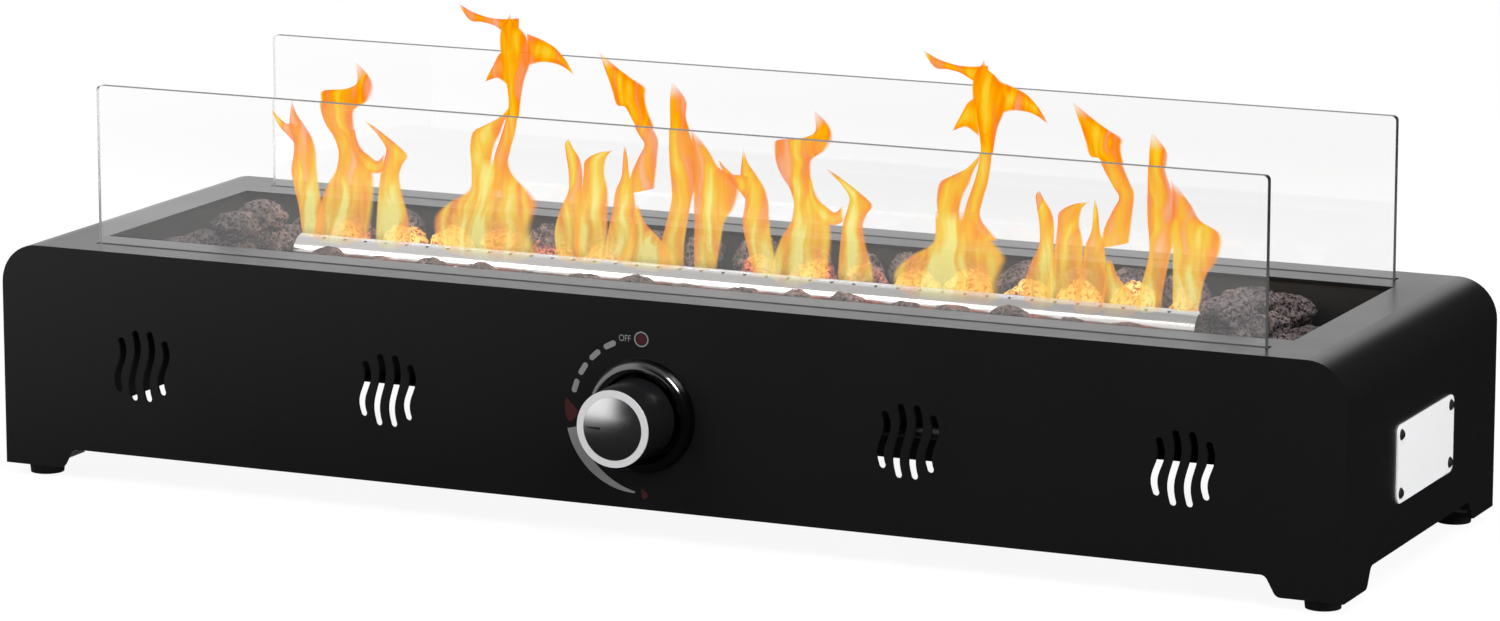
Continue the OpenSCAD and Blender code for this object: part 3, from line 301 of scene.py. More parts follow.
# Plain finishes: colour, metallic, roughness
plain = {
    "darkChrome": ((0.17, 0.17, 0.175), 1.0, 0.13),
    "brightChrome": ((0.80, 0.80, 0.81), 1.0, 0.22),
    "pointerBlack": ((0.004, 0.004, 0.004), 0.0, 0.5),
    "igniterBlack": ((0.014, 0.014, 0.014), 0.0, 0.28),
    "ceramicWhite": ((0.84, 0.81, 0.74), 0.0, 0.2),
    "leadRed": ((0.35, 0.03, 0.03), 0.0, 0.45),
    "printGrey": ((0.16, 0.16, 0.16), 0.0, 0.6),
    "printRed": ((0.040, 0.002, 0.004), 0.0, 0.6),
}
finish = {name: newMaterial(name, *values)[0] for name, values in plain.items()}
dress(["bezel"], finish["darkChrome"])
dress(["pointer_mark"], finish["pointerBlack"])
dress(["piezo_igniter"], finish["igniterBlack"])
dress(["electrode_ceramic"], finish["ceramicWhite"])
dress(["ignition_lead"], finish["leadRed"])

# The knob's ring is turned: its fine lines run round the knob's axis
ringLook = {"color": (0.72, 0.72, 0.73), "metallic": 0.35, "lines": 2600.0, "rough": (0.3, 0.42),
            "depth": 0.000004}
knobLow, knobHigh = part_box("knob_ring")
knobMid = (knobLow + knobHigh) / 2
material, tree, shader = newMaterial("turnedRing", ringLook["color"], metallic=ringLook["metallic"])
fromAxis = put(tree, "VectorMath", {0: objectSpace(tree), 1: (knobMid.x, 0, knobMid.z)},
               operation="SUBTRACT")
flatOut = put(tree, "VectorMath", {0: fromAxis.outputs[0], 1: (1, 0, 1)}, operation="MULTIPLY")
radius = put(tree, "VectorMath", {0: flatOut.outputs[0]}, operation="LENGTH").outputs["Value"]
rings = put(tree, "TexNoise", {"W": radius, "Scale": ringLook["lines"], "Detail": 2.0},
            noise_dimensions="1D").outputs[0]
tree.links.new(smooth(tree, rings, *noiseSpan, *ringLook["rough"]), shader.inputs["Roughness"])
bump(tree, shader, rings, ringLook["depth"])
dress(["knob_ring"], material)

# Clear glass: its ground edges are darker and duller than its faces, and its faces have a painted glow, a
# veil of pale light that they give off themselves, which grows from the first of its two heights down to
# the second
glassLook = {"face": (1.0, 1.0, 1.0), "edge": (0.16, 0.18, 0.18), "clear": 1.0, "index": 1.5,
             "rough": (0.0, 0.35), "veilHeights": (0.182, 0.135), "paintedVeil": (0.003, 0.032)}
material, tree, shader = newMaterial("temperedGlass", glassLook["face"], IOR=glassLook["index"],
                                     Transmission_Weight=glassLook["clear"])
normal = put(tree, "SeparateXYZ", {0: put(tree, "TexCoord").outputs["Normal"]}).outputs["Y"]
edge = maths(tree, "LESS_THAN", maths(tree, "ABSOLUTE", normal), 0.5)  # the panes' faces look along y
tree.links.new(blendColors(tree, edge, glassLook["face"], glassLook["edge"]), shader.inputs["Base Color"])
tree.links.new(smooth(tree, edge, 0, 1, *glassLook["rough"]), shader.inputs["Roughness"])
height = put(tree, "SeparateXYZ", {0: objectSpace(tree)}).outputs["Z"]
# painted glow: the panes' faces emit a little pale light, more towards their bottom
paintedVeil = product(tree, maths(tree, "SUBTRACT", 1.0, edge),
               smooth(tree, height, *glassLook["veilHeights"], *glassLook["paintedVeil"]))
shader.inputs["Emission Color"].default_value = (1, 1, 1, 1)
tree.links.new(paintedVeil, shader.inputs["Emission Strength"])
dress(["front_glass", "rear_glass"], material)


# A node's mesh made anew as a piece of its own: welded, with edges sharper than the angle kept sharp
def remake(node, name, material, body, sharp=30, weld=2e-6):
    shape = bmesh.new()
    shape.from_mesh(nodes[node].data)
    bmesh.ops.remove_doubles(shape, verts=shape.verts, dist=weld)
    bmesh.ops.dissolve_degenerate(shape, dist=weld / 2, edges=shape.edges)
    bmesh.ops.recalc_face_normals(shape, faces=shape.faces)
    shape.verts.index_update()
    made = newPiece(name, [v.co for v in shape.verts], [[v.index for v in f.verts] for f in shape.faces],
                    material, body)
    shape.free()
    made.data.set_sharp_from_angle(angle=math.radians(sharp))
    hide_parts(node)
    return made


# The dome's middle shades evenly once its mesh is welded
remake("knob_dome", "domeCap", finish["brightChrome"], "knob")

# The valve's spring is made anew as a piece with a mesh of its own. The real spring shortens as the knob
# is pushed in: its inner end stays, and its outer end travels
spring = remake("valve_spring", "coilSpring", metalMaterial("springSteel"), "root")
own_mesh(spring)
print("finishes done")

# Dial printing on the front panel. Angles are in degrees about the knob's axis, anticlockwise from the
# right, and sizes are in metres. The dot's red and its ring are each an inner and an outer radius.
dial = {
    "radius": 0.0373,
    "lift": 0.00006,
    "dot": {"at": 90.5, "red": (0.00001, 0.0026), "ring": (0.0031, 0.0038)},
    "dashes": {"at": (117.2, 132.1, 147.0, 161.8), "length": 0.0072, "width": 0.0028},
    "sweep": {"from": 193.5, "to": 264.0, "radius": 0.0381, "wide": 0.0060, "narrow": 0.0008, "steps": 40},
    "bigFlame": {"at": 180.5, "height": 0.0119, "width": 0.0068},
    "smallFlame": {"at": 271.3, "height": 0.0050, "width": 0.0036},
    "flame": {"out": 1.03, "fat": 0.62, "round": 0.8, "taper": 0.5, "sway": 0.28, "turn": 1.6},
    "word": {"text": "OFF", "height": 0.0032, "width": 0.0062, "at": (-0.00905, 0.0372)},
}
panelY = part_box("front_panel")[0].y - dial["lift"]


def onDial(angle, radius):
    a = math.radians(angle)
    return np.array([radius * math.cos(a), radius * math.sin(a)])


# Points in the panel's plane, given from the knob's axis, put just in front of the panel
def asPrint(points):
    points = np.asarray(points, float)
    return np.column_stack([knobMid.x + points[:, 0], np.full(len(points), panelY),
                            knobMid.z + points[:, 1]])


# Band of quads between two lines of points, as one layer of printing
def band(inner, outer):
    n = len(inner)
    k = np.arange(n - 1)
    return np.vstack([inner, outer]), np.column_stack([k, k + 1, k + n + 1, k + n])


def circle(center, radius, n=40):
    a = np.linspace(0, 2 * math.pi, n + 1)
    return center + radius * np.column_stack([np.cos(a), np.sin(a)])


# A flame as a drop: at height t its width is fat * sin(pi * t) ^ round * (1 - taper * t), and its middle
# sways to one side
def flameShape(center, height, width, n=24):
    look = dial["flame"]
    t = np.linspace(0, 1, n)
    half = width * look["fat"] * np.sin(math.pi * t) ** look["round"] * (1 - look["taper"] * t)
    sway = width * look["sway"] * np.sin(math.pi * look["turn"] * t) * t
    z = (t - 0.5) * height
    left = center + np.column_stack([sway - half, z])
    right = center + np.column_stack([sway + half, z])
    return band(left, right)


def gather(shapes):
    points, faces, start = [], [], 0
    for p, f in shapes:
        points.append(p)
        faces.extend((np.asarray(f) + start).tolist())
        start += len(p)
    return np.vstack(points), faces


# A capsule along the dial's circle: half circles of its width at both ends
def dash(angle):
    d = dial["dashes"]
    reach = (d["length"] - d["width"]) / 2
    a = math.radians(angle)
    along = np.array([-math.sin(a), math.cos(a)])
    out = np.array([math.cos(a), math.sin(a)])
    u = np.linspace(-d["length"] / 2, d["length"] / 2, 15)
    over = np.clip(np.abs(u) - reach, 0, d["width"] / 2)
    half = np.sqrt(np.clip((d["width"] / 2) ** 2 - over ** 2, 0, None))
    line = onDial(angle, dial["radius"]) + u[:, None] * along
    return band(line - half[:, None] * out, line + half[:, None] * out)


dot = dial["dot"]
dotMid = onDial(dot["at"], dial["radius"])
sweep = dial["sweep"]
sweepAngles = np.radians(np.linspace(sweep["from"], sweep["to"], sweep["steps"]))
taper = 1 - np.linspace(0, 1, sweep["steps"]) ** 2  # full at the start, and narrow at the end
sweepHalf = (sweep["narrow"] + (sweep["wide"] - sweep["narrow"]) * taper) / 2
ray = np.column_stack([np.cos(sweepAngles), np.sin(sweepAngles)])
sweepInner = (sweep["radius"] - sweepHalf)[:, None] * ray
sweepOuter = (sweep["radius"] + sweepHalf)[:, None] * ray
greyShapes = [band(circle(dotMid, dot["ring"][0]), circle(dotMid, dot["ring"][1])),
              band(sweepInner, sweepOuter)]
greyShapes += [dash(angle) for angle in dial["dashes"]["at"]]
redShapes = [band(circle(dotMid, dot["red"][0]), circle(dotMid, dot["red"][1]))]
for key in ("bigFlame", "smallFlame"):
    look = dial[key]
    center = onDial(look["at"], dial["radius"] * dial["flame"]["out"])
    redShapes.append(flameShape(center, look["height"], look["width"]))
points, faces = gather(greyShapes)
newPiece("dialGrey", asPrint(points), faces, finish["printGrey"], "root", flat=True)
points, faces = gather(redShapes)
newPiece("dialRed", asPrint(points), faces, finish["printRed"], "root", flat=True)

# The word is a text made a mesh, then scaled to its height and width and stood on the panel
letters = bpy.data.objects.new("letters", bpy.data.curves.new("letters", "FONT"))
letters.data.body = dial["word"]["text"]
scene.collection.objects.link(letters)
bpy.context.view_layer.update()
wordMesh = bpy.data.meshes.new_from_object(letters)
bpy.data.objects.remove(letters)
flat = np.array([v.co[:2] for v in wordMesh.vertices], float)
flat = (flat - flat.min(0)) / np.ptp(flat, axis=0) - 0.5
flat = flat * [dial["word"]["width"], dial["word"]["height"]] + dial["word"]["at"]
wordFaces = [list(p.vertices) for p in wordMesh.polygons]
newPiece("dialWord", asPrint(flat), wordFaces, finish["printGrey"], "root", flat=True)
bpy.data.meshes.remove(wordMesh)
print("dial done")

# Lava rock: what the material uses comes first, and from swell on what shapes the stones. Lengths are in
# metres, and waves are (strength, length, octaves).
rock = {
    "dark": (0.006, 0.0045, 0.0045),
    "light": (0.215, 0.172, 0.176),
    "rough": 0.92,
    "specular": 0.25,
    "pit": 0.0021,  # width of a pit
    "pitEdge": (0.12, 0.62),
    "pitHeight": 0.45,  # next to 1 for the crumbs
    "crumb": 0.0011,
    "depth": 0.0020,
    "bump": 0.9,
    "bend": (330.0, 0.0060),  # scale and strength of the noise that bends the pits
    "patch": 70.0,
    "patchTone": (0.45, 1.0),
    "pitShadeAndTone": (0.55, 1.15),  # heights that take the dark and the light colour
    "swell": 1.07,
    "edge": 16,  # a higher power leaves sharper edges
    "lump": (0.085, 0.030, 2),
    "crease": (0.15, 0.017, 3),
    "creaseMiddle": 0.55,
    "grit": (0.012, 0.004, 2),
    "holes": 150,
    "holeDepth": 0.060,
    "holeSize": 0.085,
    "holeSpread": (0.5, 1.6),
    "holeMost": 1.3,
    "detail": (5, 4),  # subdivisions of the stones that are seen well, and of the others
    "lowLayer": 0.005,  # stones that start below this height are in the lowest layer
    "wall": 0.0064,  # from the tray's box to the inside of its wall, flange included
    "room": (0.001, 0.003),  # how far a heap may grow sideways and upwards
    "seed": 11,
}

# Painted flame light: the rock glows in its emission where the flames touch it, in patches and mostly on
# what stands out, in place of the flames' light falling on it. Reach, ends and height are in metres: where
# the glow begins to change and where it has changed.
glow = {
    "behind": 0.008,  # its line lies this far behind the burner's middle
    "reach": (0.010, 0.036),
    "ends": (-0.03, 0.01),  # from the burner's ends
    "height": (0.100, 0.112),
    "patch": 22.0,
    "patchSpan": (0.32, 0.58),
    "standsOut": (0.6, 0.95),
    "hollow": (0.3, 1.0),  # glow in the hollows and on what stands out
    "colors": [(0.0, (0, 0, 0)), (0.18, (0.18, 0.010, 0.001)), (0.36, (0.72, 0.12, 0.005)),
               (0.58, (0.90, 0.42, 0.02)), (0.85, (0.86, 0.72, 0.11))],
}

# The rock's material: pits from cell walls, fine noise, a colour darkened in the pits as painted shade and
# mottled in patches, and painted flame light
rockMaterial, tree, shader = newMaterial("lavaRock", rock["light"], roughness=rock["rough"],
                                         Specular_IOR_Level=rock["specular"])
where = objectSpace(tree)
bend = put(tree, "TexNoise", {"Vector": where, "Scale": rock["bend"][0], "Detail": 4.0, "Roughness": 0.7})
bent = put(tree, "VectorMath", {0: bend.outputs["Color"], "Scale": rock["bend"][1]}, operation="SCALE")
bentPlace = put(tree, "VectorMath", {0: where, 1: bent.outputs[0]}, operation="ADD").outputs[0]
cells = put(tree, "TexVoronoi", {"Vector": bentPlace, "Scale": 1 / rock["pit"]}).outputs["Distance"]
crumbs = put(tree, "TexNoise", {"Vector": where, "Scale": 1 / rock["crumb"], "Detail": 4.0,
                                "Roughness": 0.65}).outputs[0]
patch = put(tree, "TexNoise", {"Vector": where, "Scale": rock["patch"], "Detail": 4.0}).outputs[0]
height = weighted(tree, crumbs, (smooth(tree, cells, *rock["pitEdge"]), rock["pitHeight"]))
# painted shade: the colour goes dark where the height is low, in the pits, and it also varies in patches
pitShadeAndTone = product(tree, smooth(tree, height, *rock["pitShadeAndTone"]),
               smooth(tree, patch, *noiseSpan, *rock["patchTone"]))
tree.links.new(blendColors(tree, pitShadeAndTone, rock["dark"], rock["light"]), shader.inputs["Base Color"])
bump(tree, shader, height, rock["depth"], rock["bump"])

burnerLow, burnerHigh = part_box("burner_tube")
burnerMid = (burnerLow + burnerHigh) / 2
place = put(tree, "SeparateXYZ", {0: where})
away = maths(tree, "ABSOLUTE", maths(tree, "SUBTRACT", place.outputs["Y"], burnerMid.y + glow["behind"]))
near = smooth(tree, away, *glow["reach"], 1.0, 0.0)
ends = [burnerHigh.x + end for end in glow["ends"]]
along = smooth(tree, maths(tree, "ABSOLUTE", place.outputs["X"]), *ends, 1.0, 0.0)
risen = smooth(tree, place.outputs["Z"], *glow["height"])
patch = put(tree, "TexNoise", {"Vector": where, "Scale": glow["patch"], "Detail": 2.0}).outputs[0]
licked = smooth(tree, patch, *glow["patchSpan"])
speck = smooth(tree, smooth(tree, height, *glow["standsOut"]), 0, 1, *glow["hollow"])
# painted flame light: emission on the rock near the burner, where the flames' light falls
paintedFlameLight = product(tree, near, along, risen, licked, speck)
tree.links.new(ramp(tree, paintedFlameLight, glow["colors"]), shader.inputs["Emission Color"])
shader.inputs["Emission Strength"].default_value = 1.0


# Unit sphere of triangles: directions from the middle, and faces
def unitSphere(level):
    shape = bmesh.new()
    bmesh.ops.create_icosphere(shape, subdivisions=level, radius=1.0)
    points = np.array([v.co for v in shape.verts], float)
    faces = np.array([[v.index for v in f.verts] for f in shape.faces], int)
    shape.free()
    return points, faces


# Roughness of a place: sines along random directions, each octave half as strong and twice as fine
def waves(places, rng, wavelength, octaves, count=9):
    total = np.zeros(len(places))
    for octave in range(octaves):
        along = rng.normal(size=(count, 3))
        along /= np.linalg.norm(along, axis=1, keepdims=True)
        phase = rng.uniform(0, 2 * math.pi, count)
        angle = places @ along.T * (2 * math.pi * 2 ** octave / wavelength) + phase
        total += np.sin(angle).sum(1) / math.sqrt(count) * 0.5 ** octave
    return total


# The stones of a CAD node: each solid as its face normals, a point on each face, and its corners
def stonesOf(name):
    shape = bmesh.new()
    shape.from_mesh(nodes[name].data)
    bmesh.ops.remove_doubles(shape, verts=shape.verts, dist=1e-6)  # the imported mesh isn't welded
    shape.verts.index_update()
    seen, stones = set(), []
    for start in shape.verts:
        if start in seen:
            continue
        island, edgeOf = {start}, [start]
        while edgeOf:
            for link in edgeOf.pop().link_edges:
                for v in link.verts:
                    if v not in island:
                        island.add(v)
                        edgeOf.append(v)
        seen |= island
        faces = {f for v in island for f in v.link_faces if f.calc_area() > 1e-9}  # no slivers
        stones.append((np.array([f.normal for f in faces]), np.array([f.verts[0].co for f in faces]),
                       np.array([v.co for v in island])))
    shape.free()
    return sorted(stones, key=lambda s: tuple(np.round(s[2].mean(0), 5)))


# A stone of lava: distance from the middle is 1 / (sum of (n . d / h) ^ p) ^ (1 / p) over the solid's
# faces, which rounds its edges off, then swollen, made lumpy and creased with waves, and given holes:
# hole depth * exp(-(angle / size) ^ 4) around random directions
def lavaStone(stone, sphere, rng, limits):
    normals, onFace, corners = stone
    middle = (corners.min(0) + corners.max(0)) / 2
    reach = np.clip(((onFace - middle) * normals).sum(1), 1e-4, None)
    directions = sphere[0]
    facing = np.clip(directions @ normals.T / reach, 0, None)
    distance = 1 / (facing ** rock["edge"]).sum(1) ** (1 / rock["edge"]) * rock["swell"]
    ground = middle + directions * distance[:, None]
    strength, length, octaves = rock["lump"]
    distance *= 1 + strength * waves(ground, rng, length, octaves)
    strength, length, octaves = rock["crease"]
    distance *= 1 + strength * (rock["creaseMiddle"] - np.abs(waves(ground, rng, length, octaves)))
    holes = rng.normal(size=(rock["holes"], 3))
    holes /= np.linalg.norm(holes, axis=1, keepdims=True)
    sizes = rock["holeSize"] * rng.uniform(*rock["holeSpread"], rock["holes"])
    off = np.arccos(np.clip(directions @ holes.T, -1, 1)) / sizes
    distance *= 1 - rock["holeDepth"] * np.minimum(np.exp(-off ** 4).sum(1), rock["holeMost"])
    strength, length, octaves = rock["grit"]
    distance *= 1 + strength * waves(ground, rng, length, octaves)
    return np.clip(middle + directions * distance[:, None], limits[0], limits[1])


trayLow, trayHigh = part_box("burner_tray")
fineSphere, coarseSphere = [unitSphere(level) for level in rock["detail"]]
side, top = rock["room"]
for name in ("rocks_left", "rocks_right", "rocks_front", "rocks_rear"):
    rng = np.random.default_rng(rock["seed"] + len(name) * 7)
    low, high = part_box(name)
    limits = (np.array([trayLow.x + rock["wall"], low.y - side, low.z]),
              np.array([trayHigh.x - rock["wall"], high.y + side, high.z + top]))
    shapes = []
    for stone in stonesOf(name):
        upper = stone[2][:, 2].min() > low.z + rock["lowLayer"]
        sphere = fineSphere if upper and name != "rocks_front" else coarseSphere
        shapes.append((lavaStone(stone, sphere, rng, limits), sphere[1]))
    points, faces = gather(shapes)
    pieceName = "lava" + name.split("_")[1].capitalize()
    piece = newPiece(pieceName, points, faces, rockMaterial, "root")
    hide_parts(name)
    print("rock", name, len(shapes), "stones", len(faces), "faces")

# Flames: burning gas, so they are shown but aren't part of the object. Each tongue is a row of cuts from
# its foot to its tip, as (left x, left z, right x, right z) in millimetres on the burner's own plane. In
# the rest, pairs are the start and the end of a range, and fours are that range and what it becomes.
flames = {
    "colors": [(0.0, (0.97, 0.22, 0.0)), (0.25, (0.99, 0.33, 0.0)), (0.5, (0.98, 0.46, 0.005)),
               (0.75, (0.95, 0.61, 0.03)), (1.0, (0.96, 0.84, 0.22))],
    "warmth": {"base": 0.26, "strand": 0.62, "rise": -0.46, "middle": 0.34},
    "sway": (26.0, 0.022),  # scale and strength of the noise that bends the strands
    "strands": (150, 60, 13),  # how many stand in a metre along x, y and z
    "strandSpan": (0.36, 0.68),
    "rise": (0.118, 0.185),
    "middle": (0.1, 0.9),
    "rim": (0.0, 0.16),
    "tip": (0.9, 1.0, 1.0, 0.3),
    "foot": (0.108, 0.120, 0.06, 1.0),
    "lower": (0.118, 0.150, 0.74, 1.0),
    "thin": (0.28, 0.5, 0.80, 1.0),
    "bow": 0.42,  # how far the middle bows forward, as a part of the width
    "wander": (0.0025, 60, 35),  # how far it sways forward and back, with z and with x
    "depth": 0.003,  # tongues stand up to this far from the burner's middle
    "seed": 5,
    "steps": (12, 15),  # points upwards for each cut, and points across
    "rows": 2,  # the row of tongues comes again, moved by repeat and by drop in millimetres
    "repeat": 252.5,
    "drop": -7.0,
    "tongues": [
        [(-243, 112, -229, 110), (-245, 126, -231, 127), (-248, 136, -234, 139),
         (-250.3, 145, -235.5, 148), (-249.5, 154, -236.3, 155), (-250, 160.5, -238.5, 162),
         (-252.3, 167, -243, 168.5), (-251.7, 174, -248, 174.5), (-250.6, 181, -250.3, 181)],
        [(-247, 156, -246, 168), (-251.5, 161, -250.8, 169), (-257.5, 166.5, -254, 168.8),
         (-260.5, 171, -258.5, 171.8), (-262.4, 175, -262, 175.3)],
        [(-237, 112, -205, 110), (-234, 125, -203, 124), (-230, 138, -202, 138), (-225, 147, -203, 148),
         (-223.5, 154, -207, 157), (-223.7, 158, -210.5, 162), (-226, 164, -212.3, 168),
         (-230, 169.5, -212.5, 174), (-232.7, 176, -211, 179.5), (-233.2, 183, -203.5, 184.5),
         (-231.5, 187.5, -200.3, 190), (-218, 189.3, -201, 194.5), (-210.5, 193, -204.5, 199),
         (-210.6, 203, -210.2, 203.4)],
        [(-214, 169, -212, 169), (-214, 158, -210.3, 160.5), (-210, 149, -205, 157),
         (-201, 147, -200, 154), (-194.5, 150, -195.5, 158)],
        [(-200, 111, -178, 109), (-200, 124, -181, 126), (-199.5, 136, -184.5, 137),
         (-198, 147, -186.2, 147), (-195, 156, -184, 153), (-193.8, 161.5, -180.5, 158.6),
         (-197.5, 167.5, -187.5, 164.5), (-202.2, 172, -197.5, 170.9), (-205.4, 174.8, -205, 174.9)],
        [(-168, 112, -104, 109), (-169, 127, -110.5, 124), (-160, 136, -108, 134),
         (-151, 141, -106.5, 140), (-146.5, 145, -113, 147), (-145.2, 152, -121, 152.5),
         (-145, 160, -123, 161)],
        [(-145.5, 146, -131, 147), (-145.1, 156, -133, 158), (-145.7, 165, -131.5, 167),
         (-144.3, 173, -128.5, 173.5), (-139, 176.3, -127, 179), (-131, 180.5, -125, 184),
         (-126, 186, -124.6, 188)],
        [(-135, 145, -113, 147), (-132.3, 156, -122.4, 157), (-130.5, 164, -121.8, 166),
         (-128.3, 171, -119.9, 174), (-126, 180, -119, 183), (-125.5, 189, -118.6, 190),
         (-127, 198, -116.6, 200.5), (-129, 206, -113, 208.5), (-130.3, 214, -111.7, 215),
         (-130.3, 221, -113.5, 222.5), (-128.5, 227, -117, 226.5), (-124.5, 231.5, -121.5, 229.5),
         (-123.2, 234, -123, 234)],
        [(-125, 196, -127, 216), (-131, 200, -131, 213), (-135, 199.6, -133.8, 208),
         (-138.7, 198.2, -138.2, 199.4)],
        [(-122, 219, -121, 231.5), (-130.5, 223, -129, 230.2), (-136, 226, -137, 230),
         (-143, 227.3, -143, 231), (-150, 227.8, -149, 232.8), (-156, 235.6, -155.7, 236)],
        [(-116, 207, -116, 224.5), (-109, 209.3, -108, 222), (-101, 209.3, -101, 218.7),
         (-95, 207.5, -95.3, 213), (-90.6, 204.6, -90.3, 205.2)],
        [(-98, 112, -82, 111), (-98.5, 126, -82, 125), (-95, 138, -82, 137), (-91, 147, -83, 147),
         (-91.3, 156, -83.5, 157), (-93, 164, -85.5, 163.5), (-94, 170, -90, 169.5),
         (-92.6, 173, -92, 173)],
        [(-88, 111, -70, 110), (-88, 125, -69, 124), (-86, 138, -69, 137), (-84.5, 148, -70, 149),
         (-84, 157, -72.3, 157), (-83.5, 162.5, -72, 163), (-77, 166.6, -70.5, 166.6),
         (-68.2, 168.5, -67.8, 168.7)],
        [(-74, 112, -57, 111), (-71, 128, -55.5, 127), (-69, 140, -56, 139), (-68, 148, -58, 149),
         (-65.3, 155, -60.7, 156), (-64.6, 164, -61.8, 164), (-64, 170.8, -63.5, 171)],
        [(-62, 147, -46.6, 150.6), (-60, 157, -45.6, 160), (-56, 165.5, -44.7, 168),
         (-52.6, 172, -44.1, 175), (-55.5, 177, -46, 180), (-59.3, 183.5, -48.8, 187),
         (-63, 190, -50.3, 193), (-68, 191, -50.2, 197.5), (-70, 198, -50, 201.5),
         (-71.5, 203.5, -57, 205.2), (-73.4, 209.5, -65.5, 210.2), (-75.6, 217, -75.2, 217)],
        [(-66, 113, -30, 110), (-60, 122, -36, 121), (-58, 132, -50, 133), (-58, 142, -55, 142)],
        [(-42, 112, -27, 111), (-41, 124, -28, 123), (-38.5, 136, -27, 135), (-36.6, 146, -25, 146),
         (-36.8, 154, -22.5, 155), (-37.5, 162, -22, 165), (-37.5, 170, -21.5, 174),
         (-36.8, 178, -24, 181), (-36.2, 187, -26.5, 188.5), (-35.8, 196, -26.3, 197),
         (-34.6, 205, -33, 205)],
        [(-23, 113, -11, 111), (-24, 125, -9.5, 124), (-24.5, 136, -7, 137), (-25, 146, -1.4, 145),
         (-25, 155, 1.9, 154), (-25, 163, 0.5, 160), (-24.5, 170, -9, 164.6), (-24, 177, -13.5, 171.3),
         (-24.5, 184, -20.5, 180)],
    ],
}

flameMaterial = bpy.data.materials.new("flame")
flameMaterial.use_nodes = True
tree = flameMaterial.node_tree
tree.nodes.remove(tree.nodes["Principled BSDF"])
across, upward = put(tree, "SeparateXYZ", {0: put(tree, "TexCoord").outputs["UV"]}).outputs[:2]
where = objectSpace(tree)

# Coordinates drawn up along the flame, and bent a little, make its strands
sway = put(tree, "TexNoise", {"Vector": where, "Scale": flames["sway"][0], "Detail": 2.0})
swayed = put(tree, "VectorMath", {0: sway.outputs["Color"], "Scale": flames["sway"][1]}, operation="SCALE")
swayed = put(tree, "VectorMath", {0: where, 1: swayed.outputs[0]}, operation="ADD")
drawn = put(tree, "VectorMath", {0: swayed.outputs[0], 1: flames["strands"]}, operation="MULTIPLY")
streak = put(tree, "TexNoise", {"Vector": drawn.outputs[0], "Scale": 1.0, "Detail": 2.0}).outputs[0]
strand = smooth(tree, streak, *flames["strandSpan"])
fromMiddle = maths(tree, "ABSOLUTE", maths(tree, "SUBTRACT", maths(tree, "MULTIPLY", across, 2.0), 1.0))
rim = maths(tree, "SUBTRACT", 1.0, fromMiddle)
height = put(tree, "SeparateXYZ", {0: where}).outputs["Z"]
rise = put(tree, "MapRange", {"Value": height, "From Min": flames["rise"][0],
                              "From Max": flames["rise"][1]}).outputs[0]
warm = flames["warmth"]
warmth = weighted(tree, warm["base"], (strand, warm["strand"]), (rise, warm["rise"]),
                  (smooth(tree, rim, *flames["middle"]), warm["middle"]))

# Solid in the middle, thin at the rim, the tip, the foot and between the strands. Reflections leave the
# flames out, even those that come through the glass.
direct = maths(tree, "LESS_THAN", put(tree, "LightPath").outputs["Glossy Depth"], 0.5)
solid = product(tree, smooth(tree, rim, *flames["rim"]), smooth(tree, upward, *flames["tip"]),
                smooth(tree, height, *flames["foot"]), smooth(tree, height, *flames["lower"]),
                smooth(tree, streak, *flames["thin"]), direct)
burning = put(tree, "Emission", {"Color": ramp(tree, warmth, flames["colors"]), "Strength": 1.0})
clear = put(tree, "BsdfTransparent")
mixed = put(tree, "MixShader", {0: solid, 1: clear.outputs[0], 2: burning.outputs[0]})
tree.links.new(mixed.outputs[0], tree.nodes["Material Output"].inputs["Surface"])


# Smooth line through a few knots: cubic Hermite spans with slopes from the neighbouring knots
def throughKnots(knots, n):
    knots = np.asarray(knots, float)
    t = np.linspace(0, len(knots) - 1, n)
    slopes = np.gradient(knots, axis=0)
    i = np.clip(t.astype(int), 0, len(knots) - 2)
    u = (t - i)[:, None]
    a, b, da, db = knots[i], knots[i + 1], slopes[i], slopes[i + 1]
    return (a * (1 + 2 * u) * (1 - u) ** 2 + da * u * (1 - u) ** 2
            + b * u ** 2 * (3 - 2 * u) + db * u ** 2 * (u - 1))


# Sheet of light between a tongue's left and right edges, with s across and t upwards
def tongue(cuts, shift, drop, depth):
    upwards, across = flames["steps"]
    line = throughKnots(cuts, upwards * len(cuts)) / 1000
    s, t = np.meshgrid(np.linspace(0, 1, across), np.linspace(0, 1, len(line)))
    x = line[:, 0:1] * (1 - s) + line[:, 2:3] * s
    z = line[:, 1:2] * (1 - s) + line[:, 3:4] * s
    width = np.abs(line[:, 2:3] - line[:, 0:1])
    bow = flames["bow"] * width * 2 * s * (1 - s)
    far, withZ, withX = flames["wander"]
    y = depth - bow + far * np.sin(z * withZ + x * withX)
    points = np.stack([x + shift / 1000, y, z + drop / 1000], axis=2).reshape(-1, 3)
    rows, cols = s.shape
    k = (np.arange(rows - 1)[:, None] * cols + np.arange(cols - 1)).ravel()
    faces = np.column_stack([k, k + 1, k + cols + 1, k + cols])
    return points, faces, np.stack([s, t], axis=2).reshape(-1, 2)


shapes, uvs = [], []
rng = np.random.default_rng(flames["seed"])
for row in range(flames["rows"]):
    for cuts in flames["tongues"]:
        depth = burnerMid.y + rng.uniform(-flames["depth"], flames["depth"])
        points, faces, uv = tongue(cuts, row * flames["repeat"], row * flames["drop"], depth)
        shapes.append((points, faces))
        uvs.append(uv)
points, faces = gather(shapes)
fire = newPiece("flames", points, faces, flameMaterial)
layer = fire.data.uv_layers.new(name="flame")
corner = np.empty(len(fire.data.loops), int)
fire.data.loops.foreach_get("vertex_index", corner)
layer.data.foreach_set("uv", np.vstack(uvs)[corner].ravel())
fire.visible_shadow = False
fire.visible_diffuse = False
fire.visible_glossy = False
print("flames done")

